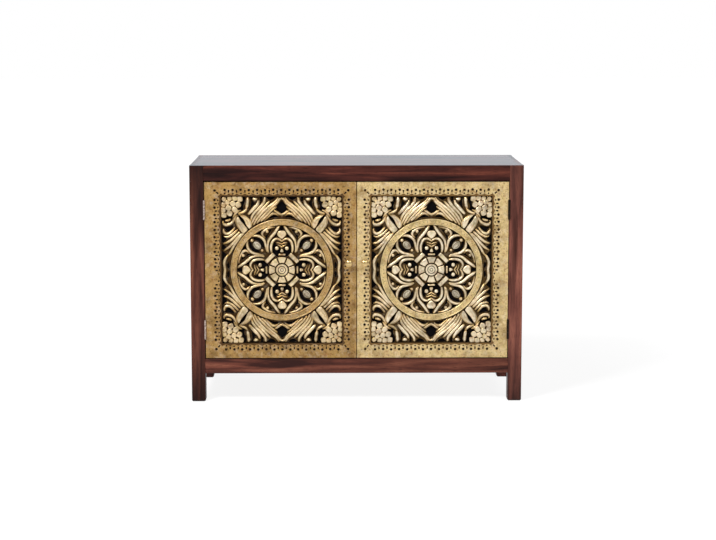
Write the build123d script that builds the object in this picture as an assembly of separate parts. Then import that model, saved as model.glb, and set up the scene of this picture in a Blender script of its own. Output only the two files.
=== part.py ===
from build123d import *
import math
import os

# Two-door sideboard cabinet: a dark wooden frame on four square legs, with a pair
# of inset doors that each hold a pierced and carved panel in front of a black board.
#
# Frame of the model, in millimetres: X runs to the right, Y runs from the front to
# the back, Z runs up. The origin is on the floor, in the middle of the whole width
# and of the whole depth, knobs included. "Left" and "right" are those of someone
# who stands in front of the doors, so left is the -X side.

# ---- carcass ------------------------------------------------------------------
WIDTH = 1080.0
DEPTH = 440.0  # front face to back face of the frame, without the knobs
HEIGHT = 775.0
POST = 45.0  # side of the square posts
LEG = 93.5  # floor to underside of the bottom rails
FOOT_CHAMFER = 4.0
EDGE_EASE = 1.2  # bevel on the long visible edges
RAIL_TOP_HEIGHT = 50.0
RAIL_BOTTOM_HEIGHT = 48.0
RAIL_THICK = 25.0
TENON_THICK = 9.0
TENON_WALL = 3.0  # wood left between two tenons that come near each other in a post
TENON_SHOULDER = 8.0
PANEL_THICK = 9.0  # side panels
BACK_THICK = 6.0  # back panel
GROOVE_DEPTH = 8.0
PANEL_GAP = 0.2  # play of a loose panel in its groove, on every side
TOP_THICK = 15.0
TOP_BORDER = 15.0  # wood left outside the rebate that the top lies in
BOTTOM_THICK = 15.0
SHELF_THICK = 18.0
SHELF_HEIGHT = 426.0  # floor to the underside of the shelf
SHELF_SETBACK = 28.0  # frame face to the shelf's front edge
SHELF_BACK_GAP = 3.0
SHELF_END_GAP = 1.0
CLEAT = 18.0  # side of the square cleats under the bottom board and the shelf

# ---- doors --------------------------------------------------------------------
DOOR_THICK = 22.0
DOOR_SIDE_GAP = 2.5
DOOR_TOP_GAP = 3.5
DOOR_BOTTOM_GAP = 3.5
DOOR_MIDDLE_GAP = 2.5
STILE_HINGE_WIDTH = 53.0
STILE_MEETING_WIDTH = 45.5
DOOR_RAIL_TOP = 46.0
DOOR_RAIL_BOTTOM = 48.5
DOOR_TENON_THICK = 8.0
DOOR_TENON_LENGTH = 30.0
DOOR_TENON_SHOULDER = 10.0
REBATE = 8.0  # how far the back of the frame opening is wider than its front
LIP = 6.0  # wood left in front of the rebate
FRET_THICK = 7.0
BACKING_THICK = 4.0
REBATE_PLAY = 0.5
BEAD_ROUND = 3.5

# ---- carved panel, measured from the middle of its ring -------------------------
RING_OUTER = 167.0
RING_INNER = 146.5
RELIEF = 3.0  # the ring and the middle rosette stand this far out of the ground
DISC_RADIUS = 19.5
PETAL_INNER = 22.5
PETAL_OUTER = 42.5
PETAL_GROOVE = 2.0
PETAL_HALF_ANGLE = 18.5
DRAWN_HALF_WIDTH = 196.375  # half the width of the opening that the carving is drawn for
PANEL_EDGE_MARGIN = 0.8  # carving stops this far inside the frame opening

# ---- hinges -------------------------------------------------------------------
HINGE_LENGTH = 64.0
HINGE_FROM_BOTTOM = 94.0  # middle of the lower hinge above the door's bottom edge
HINGE_FROM_TOP = 90.5  # middle of the upper hinge below the door's top edge
HINGE_PROUD = 2.0  # pin axis in front of the frame face
BARREL_RADIUS = 3.5
BARREL_ROOM = 0.4
HINGE_PIN_RADIUS = 1.6
HINGE_PIN_PLAY = 0.05
LEAF_THICK = 1.4
LEAF_WIDTH = 19.0  # from the pin axis
KNUCKLES = 3
KNUCKLE_GAP = 0.3

# ---- knobs and catches ----------------------------------------------------------
KNOB_PROJECTION = 22.0
KNOB_RADIUS = 11.5
KNOB_NECK = 4.5
KNOB_NECK_HEIGHT = 7.0
KNOB_DOME = 5.0
KNOB_RIM = 2.5
KNOB_ROSE = 9.0
KNOB_ROSE_THICK = 2.0
KNOB_HEIGHT = 458.0
KNOB_FROM_EDGE = 24.5  # to the edge of the meeting stile
CATCH_WIDTH = 46.0
CATCH_DEPTH = 15.0
CATCH_TALL = 13.0
CATCH_FROM_MIDDLE = 34.0
CATCH_GAP = 0.3
CATCH_EAR = 8.0
CATCH_EAR_THICK = 3.0
STRIKE = (38.0, 12.0, 1.2)  # width, height, thickness
BLOCK_LENGTH = 150.0
BLOCK_DEPTH = 32.0

# ---- places worked out from the sizes above ---------------------------------------
FRONT = -(DEPTH + KNOB_PROJECTION) / 2 + KNOB_PROJECTION
BACK = FRONT + DEPTH
SIDE = WIDTH / 2
POST_INNER = SIDE - POST
RAIL_INNER = SIDE - RAIL_THICK
OPENING_BOTTOM = LEG + RAIL_BOTTOM_HEIGHT
OPENING_TOP = HEIGHT - RAIL_TOP_HEIGHT
DOOR_BOTTOM = OPENING_BOTTOM + DOOR_BOTTOM_GAP
DOOR_TOP = OPENING_TOP - DOOR_TOP_GAP
HINGE_HEIGHTS = (DOOR_BOTTOM + HINGE_FROM_BOTTOM, DOOR_TOP - HINGE_FROM_TOP)
DOOR_HINGE_EDGE = POST_INNER - DOOR_SIDE_GAP
DOOR_MEETING_EDGE = DOOR_MIDDLE_GAP / 2
PANEL_LEFT = DOOR_MEETING_EDGE + STILE_MEETING_WIDTH
PANEL_RIGHT = DOOR_HINGE_EDGE - STILE_HINGE_WIDTH
PANEL_BOTTOM = DOOR_BOTTOM + DOOR_RAIL_BOTTOM
PANEL_TOP = DOOR_TOP - DOOR_RAIL_TOP
PANEL_X = (PANEL_LEFT + PANEL_RIGHT) / 2
PANEL_Z = (PANEL_BOTTOM + PANEL_TOP) / 2
PANEL_HALF_WIDTH = (PANEL_RIGHT - PANEL_LEFT) / 2
PANEL_HALF_HEIGHT = (PANEL_TOP - PANEL_BOTTOM) / 2
DOOR_BACK = FRONT + DOOR_THICK
GROUND = FRONT + LIP  # face of the panel between the raised parts
HINGE_X = POST_INNER - DOOR_SIDE_GAP / 2
HINGE_Y = FRONT - HINGE_PROUD
KNOB_X = DOOR_MEETING_EDGE + KNOB_FROM_EDGE
ENDS = {"bottom": (LEG, LEG + RAIL_BOTTOM_HEIGHT), "top": (HEIGHT - RAIL_TOP_HEIGHT, HEIGHT)}
RAIL_TENON_MIDDLE = RAIL_THICK / 2
TENON_LENGTH = POST - RAIL_TENON_MIDDLE - TENON_THICK / 2 - TENON_WALL


def block(x, y, z):
    """A board between two values on each axis."""
    spans = [sorted(pair) for pair in (x, y, z)]
    size = [high - low for low, high in spans]
    middle = [(high + low) / 2 for low, high in spans]
    return Pos(*middle) * Box(*size)


def rod(radius, start, end):
    """A round bar from one point to another."""
    axis = Vector(end) - Vector(start)
    return Plane(origin=start, z_dir=axis) * Cylinder(
        radius, axis.length, align=(Align.CENTER, Align.CENTER, Align.MIN)
    )


def other_side(shape):
    """The same piece on the other side of the cabinet."""
    return mirror(shape, about=Plane.YZ)


def write(name, shape):
    """Write one sub-part to its own STEP file."""
    solids = list(shape.solids())
    whole = solids[0] if len(solids) == 1 else Compound(children=solids)
    whole.label = name
    export_step(whole, f"parts/{name}.step")


# ---- carcass ------------------------------------------------------------------


def face_span(face):
    """Where the rails of the front or back frame lie in Y."""
    if face == "front":
        return FRONT, FRONT + RAIL_THICK
    return BACK - RAIL_THICK, BACK


def tenon_height(z):
    """The height that a tenon takes of its rail."""
    return z[0] + TENON_SHOULDER, z[1] - TENON_SHOULDER


def top_rebate():
    """The space that the top lies in, cut from posts and rails alike."""
    return block(
        (-SIDE + TOP_BORDER, SIDE - TOP_BORDER),
        (FRONT + TOP_BORDER, BACK - TOP_BORDER),
        (HEIGHT - TOP_THICK, HEIGHT),
    )


def long_rail(face, end):
    """A front or back rail, with a tenon on each end."""
    y = face_span(face)
    middle = (y[0] + y[1]) / 2
    z = ENDS[end]
    rail = block((-POST_INNER, POST_INNER), y, z)
    edges = rail.edges().filter_by(Axis.X).group_by(Axis.Y)[0 if face == "front" else -1]
    rail = chamfer(edges, EDGE_EASE)
    reach = POST_INNER + TENON_LENGTH
    tenon_y = (middle - TENON_THICK / 2, middle + TENON_THICK / 2)
    rail += block((-reach, reach), tenon_y, tenon_height(z))
    if end == "top":
        rail -= top_rebate()
    if face == "back":
        rail -= back_panel_space(0)
    return rail


def side_rail(end):
    """A right-hand side rail, with a tenon on each end."""
    x = (SIDE - RAIL_THICK, SIDE)
    middle = SIDE - RAIL_TENON_MIDDLE
    z = ENDS[end]
    rail = block(x, (FRONT + POST, BACK - POST), z)
    rail = chamfer(rail.edges().filter_by(Axis.Y).group_by(Axis.X)[-1], EDGE_EASE)
    tenon_x = (middle - TENON_THICK / 2, middle + TENON_THICK / 2)
    tenon_y = (FRONT + POST - TENON_LENGTH, BACK - POST + TENON_LENGTH)
    rail += block(tenon_x, tenon_y, tenon_height(z))
    if end == "top":
        rail -= top_rebate()
    return rail - side_panel_space(0)


def side_panel_space(play):
    """The right side panel with its edges in the grooves, less the play all round."""
    middle = SIDE - RAIL_TENON_MIDDLE
    half = PANEL_THICK / 2 + PANEL_GAP - play
    into = GROOVE_DEPTH - play
    return block(
        (middle - half, middle + half),
        (FRONT + POST - into, BACK - POST + into),
        (OPENING_BOTTOM - into, OPENING_TOP + into),
    )


def back_panel_space(play):
    """The back panel with its edges in the grooves, less the play all round."""
    middle = BACK - RAIL_TENON_MIDDLE
    half = BACK_THICK / 2 + PANEL_GAP - play
    into = GROOVE_DEPTH - play
    return block(
        (-POST_INNER - into, POST_INNER + into),
        (middle - half, middle + half),
        (OPENING_BOTTOM - into, OPENING_TOP + into),
    )


def post(face):
    """A right-hand post with the mortises and grooves for what it holds."""
    y = (FRONT, FRONT + POST) if face == "front" else (BACK - POST, BACK)
    shape = block((POST_INNER, SIDE), y, (0, HEIGHT))
    shape = chamfer(shape.faces().sort_by(Axis.Z)[0].edges(), FOOT_CHAMFER)
    shape = chamfer(shape.edges().filter_by(Axis.Z), EDGE_EASE)
    for end in ENDS:
        shape -= long_rail(face, end)
        shape -= side_rail(end)
    shape -= side_panel_space(0)
    shape -= top_rebate()
    if face == "back":
        shape -= back_panel_space(0)
    if face == "front":
        for height in HINGE_HEIGHTS:
            shape -= hinge_room(height, -1)
    return shape


def top_board():
    """The top, let in flush between the posts and rails."""
    return top_rebate()


def bottom_board():
    """The cabinet floor, notched round the posts and resting on its cleats."""
    z = (OPENING_BOTTOM - BOTTOM_THICK, OPENING_BOTTOM)
    board = block((-RAIL_INNER, RAIL_INNER), (FRONT + RAIL_THICK, BACK - RAIL_THICK), z)
    for side in (-1, 1):
        for y in ((FRONT, FRONT + POST), (BACK - POST, BACK)):
            board -= block((side * POST_INNER, side * SIDE), y, z)
    return board


def bottom_cleats():
    """Square battens along the front and back rails, under the cabinet floor."""
    top = OPENING_BOTTOM - BOTTOM_THICK
    x = (-POST_INNER, POST_INNER)
    front = block(x, (FRONT + RAIL_THICK, FRONT + RAIL_THICK + CLEAT), (top - CLEAT, top))
    back = block(x, (BACK - RAIL_THICK - CLEAT, BACK - RAIL_THICK), (top - CLEAT, top))
    return [front, back]


def shelf_span():
    """Front and back edge of the shelf."""
    panel_face = BACK - RAIL_TENON_MIDDLE - BACK_THICK / 2 - PANEL_GAP
    return FRONT + SHELF_SETBACK, panel_face - SHELF_BACK_GAP


def shelf():
    """The loose shelf between the posts, with a bevelled front edge."""
    reach = POST_INNER - SHELF_END_GAP
    board = block((-reach, reach), shelf_span(), (SHELF_HEIGHT, SHELF_HEIGHT + SHELF_THICK))
    return chamfer(board.edges().filter_by(Axis.X).group_by(Axis.Y)[0], EDGE_EASE)


def shelf_cleat():
    """The right-hand cleat under the shelf, fixed to the inner faces of the posts."""
    front, back = shelf_span()
    return block(
        (POST_INNER - CLEAT, POST_INNER), (front + EDGE_EASE, back), (SHELF_HEIGHT - CLEAT, SHELF_HEIGHT)
    )


# ---- catches --------------------------------------------------------------------


def catch_block():
    """A glued block behind the top rail that carries both catches."""
    y = (FRONT + RAIL_THICK, FRONT + RAIL_THICK + BLOCK_DEPTH)
    z = (OPENING_TOP, HEIGHT - TOP_THICK)
    return block((-BLOCK_LENGTH / 2, BLOCK_LENGTH / 2), y, z)


def catch():
    """The right-hand magnetic catch: its case and an ear on each side to fix it by."""
    face = DOOR_BACK + STRIKE[2] + CATCH_GAP
    z = (OPENING_TOP - CATCH_TALL, OPENING_TOP)
    half = CATCH_WIDTH / 2
    y = (face, face + CATCH_DEPTH)
    ear_y = (FRONT + RAIL_THICK + CATCH_GAP, face + CATCH_DEPTH)
    case = block((CATCH_FROM_MIDDLE - half + CATCH_EAR, CATCH_FROM_MIDDLE + half - CATCH_EAR), y, z)
    case = chamfer(case.edges().filter_by(Axis.Z), EDGE_EASE)
    ears = block(
        (CATCH_FROM_MIDDLE - half, CATCH_FROM_MIDDLE + half),
        ear_y,
        (OPENING_TOP - CATCH_EAR_THICK, OPENING_TOP),
    )
    return case + ears


def strike_plate():
    """The right-hand steel plate on the back of the door that the magnet holds."""
    width, height, thick = STRIKE
    x = (CATCH_FROM_MIDDLE - width / 2, CATCH_FROM_MIDDLE + width / 2)
    z_middle = DOOR_TOP - height / 2 - 1
    z = (z_middle - height / 2, z_middle + height / 2)
    plate = block(x, (DOOR_BACK, DOOR_BACK + thick), z)
    return chamfer(plate.edges().filter_by(Axis.Y), EDGE_EASE)


# ---- hinges -----------------------------------------------------------------------
# A hinge leaf on the post has side -1 and one on the door has side +1. Everything is
# drawn for the right-hand door, whose post lies at the greater X.


def knuckle_span(height, index):
    """Height of one knuckle, counted from the bottom of the hinge."""
    pitch = HINGE_LENGTH / KNUCKLES
    low = height - HINGE_LENGTH / 2 + index * pitch
    return low + KNUCKLE_GAP / 2, low + pitch - KNUCKLE_GAP / 2


def leaf_x(side):
    """Where a leaf lies in X: flush in the post's inner face or in the door's edge."""
    if side < 0:
        return POST_INNER, POST_INNER + LEAF_THICK
    return DOOR_HINGE_EDGE - LEAF_THICK, DOOR_HINGE_EDGE


def hinge_room(height, side):
    """The mortise for a leaf and the scoop for the barrel."""
    z = (height - HINGE_LENGTH / 2, height + HINGE_LENGTH / 2)
    mortise = block(leaf_x(side), (FRONT, HINGE_Y + LEAF_WIDTH), z)
    room = BARREL_RADIUS + BARREL_ROOM
    return mortise + rod(room, (HINGE_X, HINGE_Y, z[0]), (HINGE_X, HINGE_Y, z[1]))


def hinge_leaf(height, side):
    """One leaf with its own knuckles, cut clear of the knuckles of the other leaf."""
    z = (height - HINGE_LENGTH / 2, height + HINGE_LENGTH / 2)
    leaf = block(leaf_x(side), (HINGE_Y, HINGE_Y + LEAF_WIDTH), z)
    own = range(0, KNUCKLES, 2) if side < 0 else range(1, KNUCKLES, 2)
    for index in range(KNUCKLES):
        low, high = knuckle_span(height, index)
        if index in own:
            leaf += rod(BARREL_RADIUS, (HINGE_X, HINGE_Y, low), (HINGE_X, HINGE_Y, high))
        else:
            room = BARREL_RADIUS + BARREL_ROOM
            low, high = low - KNUCKLE_GAP, high + KNUCKLE_GAP
            leaf -= rod(room, (HINGE_X, HINGE_Y, low), (HINGE_X, HINGE_Y, high))
    bore = HINGE_PIN_RADIUS + HINGE_PIN_PLAY
    return leaf - rod(bore, (HINGE_X, HINGE_Y, z[0]), (HINGE_X, HINGE_Y, z[1]))


def hinge_pin(height):
    """The pin through all knuckles, flush with the ends of the barrel."""
    low = height - HINGE_LENGTH / 2 + KNUCKLE_GAP / 2
    high = height + HINGE_LENGTH / 2 - KNUCKLE_GAP / 2
    return rod(HINGE_PIN_RADIUS, (HINGE_X, HINGE_Y, low), (HINGE_X, HINGE_Y, high))


# ---- door frame ---------------------------------------------------------------------
# Everything is drawn for the right-hand door and turned over for the left one.


def rebate_space(play, y):
    """The recess behind the frame opening, less the play all round."""
    grow = REBATE - play
    return block(
        (PANEL_LEFT - grow, PANEL_RIGHT + grow), y, (PANEL_BOTTOM - grow, PANEL_TOP + grow)
    )


def door_tenon(end):
    """The tenon through both ends of a door rail."""
    if end == "top":
        z = (PANEL_TOP + DOOR_TENON_SHOULDER, DOOR_TOP - DOOR_TENON_SHOULDER)
    else:
        z = (DOOR_BOTTOM + DOOR_TENON_SHOULDER, PANEL_BOTTOM - DOOR_TENON_SHOULDER)
    x = (PANEL_LEFT - DOOR_TENON_LENGTH, PANEL_RIGHT + DOOR_TENON_LENGTH)
    middle = FRONT + DOOR_THICK / 2
    return block(x, (middle - DOOR_TENON_THICK / 2, middle + DOOR_TENON_THICK / 2), z)


def door_rail(end):
    """A door rail between the stiles."""
    z = (PANEL_TOP, DOOR_TOP) if end == "top" else (DOOR_BOTTOM, PANEL_BOTTOM)
    rail = block((PANEL_LEFT, PANEL_RIGHT), (FRONT, DOOR_BACK), z) + door_tenon(end)
    return rail - rebate_space(0, (GROUND, DOOR_BACK))


def door_stile(which):
    """A stile: the hinge stile takes the hinge leaves, the meeting stile carries the knob."""
    if which == "hinge":
        x = (PANEL_RIGHT, DOOR_HINGE_EDGE)
    else:
        x = (DOOR_MEETING_EDGE, PANEL_LEFT)
    stile = block(x, (FRONT, DOOR_BACK), (DOOR_BOTTOM, DOOR_TOP))
    stile -= rebate_space(0, (GROUND, DOOR_BACK))
    for end in ("top", "bottom"):
        stile -= door_tenon(end)
    if which == "hinge":
        for height in HINGE_HEIGHTS:
            stile -= hinge_room(height, 1)
    return stile


def backing_board():
    """The thin black board behind the pierced panel."""
    y = (GROUND + FRET_THICK, GROUND + FRET_THICK + BACKING_THICK)
    return rebate_space(REBATE_PLAY, y)


def retaining_beads():
    """Four mitred beads, rounded inwards, that hold the panel and its backing in the rebate."""
    y = (GROUND + FRET_THICK + BACKING_THICK, DOOR_BACK)
    frame = rebate_space(REBATE_PLAY, y) - rebate_space(REBATE, y)
    frame = fillet(frame.faces().sort_by(Axis.Y)[-1].inner_wires()[0].edges(), BEAD_ROUND)
    grow = REBATE - REBATE_PLAY
    outer = [(PANEL_LEFT - grow, PANEL_BOTTOM - grow), (PANEL_RIGHT + grow, PANEL_BOTTOM - grow),
             (PANEL_RIGHT + grow, PANEL_TOP + grow), (PANEL_LEFT - grow, PANEL_TOP + grow)]
    inner = [(PANEL_LEFT, PANEL_BOTTOM), (PANEL_RIGHT, PANEL_BOTTOM),
             (PANEL_RIGHT, PANEL_TOP), (PANEL_LEFT, PANEL_TOP)]
    beads = []
    for index in range(4):
        after = (index + 1) % 4
        zone = make_face(Polyline(outer[index], outer[after], inner[after], inner[index], close=True))
        wedge = extrude(Plane((0, BACK, 0), x_dir=(1, 0, 0), z_dir=(0, -1, 0)) * zone, DEPTH)
        beads.append((frame & wedge).solid())
    return beads


# ---- knob -----------------------------------------------------------------------------


def knob():
    """A turned knob: a flat rose, a waisted neck and a domed head."""
    tip = KNOB_PROJECTION
    dome_foot = tip - KNOB_DOME
    dome_radius = (KNOB_RADIUS**2 + KNOB_DOME**2) / (2 * KNOB_DOME)
    half_way = math.asin(KNOB_RADIUS / dome_radius) / 2
    on_dome = (
        dome_radius * math.sin(half_way), tip - dome_radius + dome_radius * math.cos(half_way)
    )
    side = Polyline(
        (0, tip),
        (0, 0),
        (KNOB_ROSE, 0),
        (KNOB_ROSE, KNOB_ROSE_THICK),
        (KNOB_NECK, KNOB_NECK_HEIGHT),
        (KNOB_RADIUS, dome_foot - KNOB_RIM),
        (KNOB_RADIUS, dome_foot),
    )
    dome = ThreePointArc((KNOB_RADIUS, dome_foot), on_dome, (0, tip))
    turned = revolve(Plane.XZ * make_face([*side.edges(), dome]), Axis.Z)
    return Plane(origin=(KNOB_X, FRONT, KNOB_HEIGHT), z_dir=(0, -1, 0)) * turned


# ---- carved panel -----------------------------------------------------------------------
# Drawn flat around the middle of the ring: u to the right, v up, w out of the face.
# The ring's inside repeats eight times: one half of the top petal, mirrored about the
# upright and turned by quarters. The corners repeat four times.
# Each void is a list of its corners with, after each, a point that the arc to the next
# corner passes, or None for a straight stretch.

# voids inside the ring: four whole ones, then one of eight
APEX_VOID = [(-3.5, 145), None, (3.5, 145), None, (7, 131), (0, 128.8), (-7, 131), None]
BUD_VOID = [(16.5, 117), (22, 113), (26, 107.5), None, (15.5, 107.5), None]
SPANDREL_VOID = [
    (30.5, 131), None, (40.5, 128.5), (44, 119.5), (52.5, 112.5), None, (50.5, 98), (42.5, 115.5),
]
RING_VOID = [(64, 129.9), (76.9, 122.7), (87, 115.8), None, (70, 115.5), None]
CURL_VOID = [
    (19, 88.5), None, (27.5, 84), None, (30.5, 63), None, (21, 47), None, (11, 44), None,
    (12.5, 64.5), None, (22.5, 67.5), None, (23.5, 74.5), None, (20, 80), None,
]
EYE_VOID = [
    (59.5, 67), (65.5, 92), (91, 105.5), None, (89.5, 98), None, (73, 90.5), None, (66, 76), None,
]
# voids outside the ring: two whole ones, then those of one corner
CREST_VOID = [(0, 225), (9, 217), (17, 204), (13, 193), (0, 185), (-13, 193), (-17, 204), (-9, 217)]
CORNER_VOIDS = [
    [(7, 171), None, (22, 178), None, (34, 174.5), None, (50, 163.5), (28, 170.3)],
    [(21, 241), None, (27, 230), None, (38, 227.5), None, (46, 232), None, (49.5, 241), None],
    [(60, 241), None, (63, 226), None, (66, 221.5), None, (69.5, 226), None, (75, 241), None],
    [
        (93.5, 241), None, (95, 231), None, (86.5, 219.5), None, (87.5, 215), None, (108, 190),
        (99.5, 213), (104, 241), None,
    ],
    [
        (119, 241), None, (117.5, 228), None, (124.5, 206), None, (121, 197.5), None, (135, 194.5),
        None, (139.5, 201), None, (130, 213), None, (131, 222), None, (127, 241), None,
    ],
    [(197, 167), None, (163, 178), None, (161, 164), None, (180, 158), None, (197, 159), None],
    [(140, 179), (124.5, 167), (117.5, 147), (131.5, 160)],
    [
        (197, 139), None, (178, 137), None, (157, 143), None, (165.5, 133), None, (171.5, 117), None,
        (177, 119), None, (180, 128), None, (197, 130), None,
    ],
    [(197, 104), None, (188, 102), None, (181.5, 94), None, (190, 77.5), None, (197, 73), None],
    [(197, 60), None, (189, 58), None, (182, 51), None, (186, 40), None, (197, 27), None],
    [(174, 27.5), None, (171, 14), None, (173, 3), None, (179, 14), None],
]


def outline(points):
    """A closed face from corners and what each stretch between two of them passes."""
    edges = []
    count = len(points)
    for index in range(0, count, 2):
        start, via, end = points[index], points[index + 1], points[(index + 2) % count]
        edges.append(ThreePointArc(start, via, end) if via else Line(start, end))
    return make_face(edges)


def mirrored(face, across):
    """The face itself and its mirror image."""
    return [face, mirror(face, about=across)]


def quarters(faces):
    """Each face in its place and turned by one, two and three quarters."""
    return [Rot(0, 0, 90 * turn) * face for face in faces for turn in range(4)]


def voids():
    """All that is sawn right through the panel, at the size of the frame opening."""
    found = quarters([outline(APEX_VOID)]) + mirrored(outline(CREST_VOID), Plane.XZ)
    for points in (BUD_VOID, SPANDREL_VOID, RING_VOID, CURL_VOID, EYE_VOID):
        found += quarters(mirrored(outline(points), Plane.YZ))
    for points in CORNER_VOIDS:
        for face in mirrored(outline(points), Plane.YZ):
            found += mirrored(face, Plane.XZ)
    free = Rectangle(
        2 * (PANEL_HALF_WIDTH - PANEL_EDGE_MARGIN), 2 * (PANEL_HALF_HEIGHT - PANEL_EDGE_MARGIN)
    )
    return scale(Sketch() + found, by=PANEL_HALF_WIDTH / DRAWN_HALF_WIDTH) & free


def petals():
    """Eight petals round the disc, parted by grooves; those on the diagonals are wider."""
    found = []
    for index in range(8):
        upright = index % 2 == 0
        spread = math.radians(PETAL_HALF_ANGLE if upright else 45 - PETAL_HALF_ANGLE)
        reach = PETAL_OUTER if upright else PETAL_OUTER + PETAL_GROOVE
        low = PETAL_INNER * math.tan(spread) - PETAL_GROOVE / 2
        high = reach * math.tan(spread) - PETAL_GROOVE / 2
        corners = [(low, PETAL_INNER), (high, reach), (-high, reach), (-low, PETAL_INNER)]
        found.append(Rot(0, 0, index * 45) * make_face(Polyline(*corners, close=True)))
    return found


def raised():
    """What stands out of the ground: the ring, the disc and its petals."""
    shapes = [Circle(RING_OUTER) - Circle(RING_INNER), Circle(DISC_RADIUS), *petals()]
    return scale(Sketch() + shapes, by=PANEL_HALF_WIDTH / DRAWN_HALF_WIDTH)


def fret_panel():
    """The pierced panel: a plate with its voids and the raised ring and rosette."""
    grow = REBATE - REBATE_PLAY
    sheet = Rectangle(2 * (PANEL_HALF_WIDTH + grow), 2 * (PANEL_HALF_HEIGHT + grow)) - voids()
    panel = extrude(sheet, FRET_THICK, dir=(0, 0, -1))
    panel += extrude(raised(), RELIEF, dir=(0, 0, 1))
    return Plane((PANEL_X, GROUND, PANEL_Z), x_dir=(1, 0, 0), z_dir=(0, -1, 0)) * panel


# ---- all sub-parts ------------------------------------------------------------------------


def pair(name, shape):
    """A right-hand piece and its mirror image, under the names of their sides."""
    return {name.format(side="right"): shape, name.format(side="left"): other_side(shape)}


def carcass():
    """The pieces that stand still, without the hinges."""
    pieces = {}
    for face in ("front", "back"):
        pieces.update(pair(f"post_{face}_{{side}}", post(face)))
        for end in ENDS:
            pieces[f"rail_{face}_{end}"] = long_rail(face, end)
    for end in ENDS:
        pieces.update(pair(f"rail_{{side}}_{end}", side_rail(end)))
    pieces.update(pair("panel_{side}", side_panel_space(PANEL_GAP)))
    pieces["panel_back"] = back_panel_space(PANEL_GAP)
    pieces["top_board"] = top_board()
    pieces["bottom_board"] = bottom_board()
    pieces["bottom_cleats"] = Compound(children=bottom_cleats())
    pieces["shelf"] = shelf()
    pieces.update(pair("shelf_cleat_{side}", shelf_cleat()))
    pieces["catch_block"] = catch_block()
    pieces.update(pair("catch_{side}", catch()))
    return pieces


def hinges():
    """Two butt hinges on each door, each with two leaves and a pin."""
    pieces = {}
    for height, name in zip(HINGE_HEIGHTS, ("lower", "upper")):
        pieces.update(pair(f"hinge_{{side}}_{name}_post_leaf", hinge_leaf(height, -1)))
        pieces.update(pair(f"hinge_{{side}}_{name}_door_leaf", hinge_leaf(height, 1)))
        pieces.update(pair(f"hinge_{{side}}_{name}_pin", hinge_pin(height)))
    return pieces


def doors():
    """The pieces that swing with each door, without its hinge leaves."""
    pieces = {}
    for which in ("hinge", "meeting"):
        pieces.update(pair(f"door_{{side}}_stile_{which}", door_stile(which)))
    for end in ENDS:
        pieces.update(pair(f"door_{{side}}_rail_{end}", door_rail(end)))
    pieces.update(pair("door_{side}_fret", fret_panel()))
    pieces.update(pair("door_{side}_backing", backing_board()))
    pieces.update(pair("door_{side}_beads", Compound(children=retaining_beads())))
    pieces.update(pair("door_{side}_knob", knob()))
    pieces.update(pair("door_{side}_strike", strike_plate()))
    return pieces


if __name__ == "__main__":
    os.makedirs("parts", exist_ok=True)
    for name, shape in {**carcass(), **hinges(), **doors()}.items():
        write(name, shape)
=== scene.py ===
# %% [markdown]
# # A two-door cabinet with gilded, carved doors
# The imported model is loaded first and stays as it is: posts, rails, boards and hinges are its own
# solids. This notebook gives every surface its finish and adds what a carver, a gilder and a
# fitter add: the carving in the doors, the punched border round it, and the screws.

# %% Load the frame
import math
import random

import bpy
from mathutils import Matrix, Vector


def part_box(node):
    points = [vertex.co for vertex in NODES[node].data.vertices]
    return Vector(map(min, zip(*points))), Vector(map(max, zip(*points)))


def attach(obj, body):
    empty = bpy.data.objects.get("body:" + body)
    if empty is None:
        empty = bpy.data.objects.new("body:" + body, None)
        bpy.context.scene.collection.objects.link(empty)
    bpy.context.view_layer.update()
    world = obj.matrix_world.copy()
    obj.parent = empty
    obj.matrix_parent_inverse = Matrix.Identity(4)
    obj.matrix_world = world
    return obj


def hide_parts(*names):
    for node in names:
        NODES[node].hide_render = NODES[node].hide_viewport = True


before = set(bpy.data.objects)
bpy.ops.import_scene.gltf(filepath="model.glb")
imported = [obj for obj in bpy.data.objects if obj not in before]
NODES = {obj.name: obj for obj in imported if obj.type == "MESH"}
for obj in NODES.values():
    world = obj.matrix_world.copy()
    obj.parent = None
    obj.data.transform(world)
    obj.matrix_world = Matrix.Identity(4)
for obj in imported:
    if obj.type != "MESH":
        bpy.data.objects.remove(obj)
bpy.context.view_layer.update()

MM = 0.001
SIGN = {"left": -1, "right": 1}
print("CAD nodes:", len(NODES))


# %% [markdown]
# ## Camera
# The cabinet is seen from straight ahead and a little above its top, from about six metres, so its
# edges stay almost parallel. A long lens does that. A camera looks along its own -Z axis, so it is
# first raised by 90 degrees, and the pitch is taken off again.

# %% Camera
CAMERA_PLACE = (-0.0717, -6.001, 1.2528)
PITCH, YAW = 8.04, -0.75
LENS_MM, SENSOR_MM = 90.5, 36
FARTHEST_SEEN = 100


def select_only(*pieces):
    """Leaves edit mode and selects just these, so that an operator touches nothing else."""
    if bpy.context.object and bpy.context.object.mode != "OBJECT":
        bpy.ops.object.mode_set(mode="OBJECT")
    bpy.ops.object.select_all(action="DESELECT")
    for piece in pieces:
        piece.select_set(True)
    if pieces:
        bpy.context.view_layer.objects.active = pieces[0]


select_only()
bpy.ops.object.camera_add(
    location=CAMERA_PLACE, rotation=(math.radians(90 - PITCH), 0, math.radians(YAW))
)
camera = bpy.context.object
camera.data.lens = LENS_MM
camera.data.sensor_width = SENSOR_MM
camera.data.clip_end = FARTHEST_SEEN
bpy.context.scene.camera = camera
bpy.context.scene.view_settings.view_transform = "Standard"
print("camera at", tuple(round(c, 3) for c in camera.location))


# %% [markdown]
# ## Helpers for materials
# A shader is a tree of nodes. One function turns a hex colour, as a paint chart gives it, into the
# linear values that a shader needs. Another adds a node with its settings and its inputs, which
# are values or links from other nodes.

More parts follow.
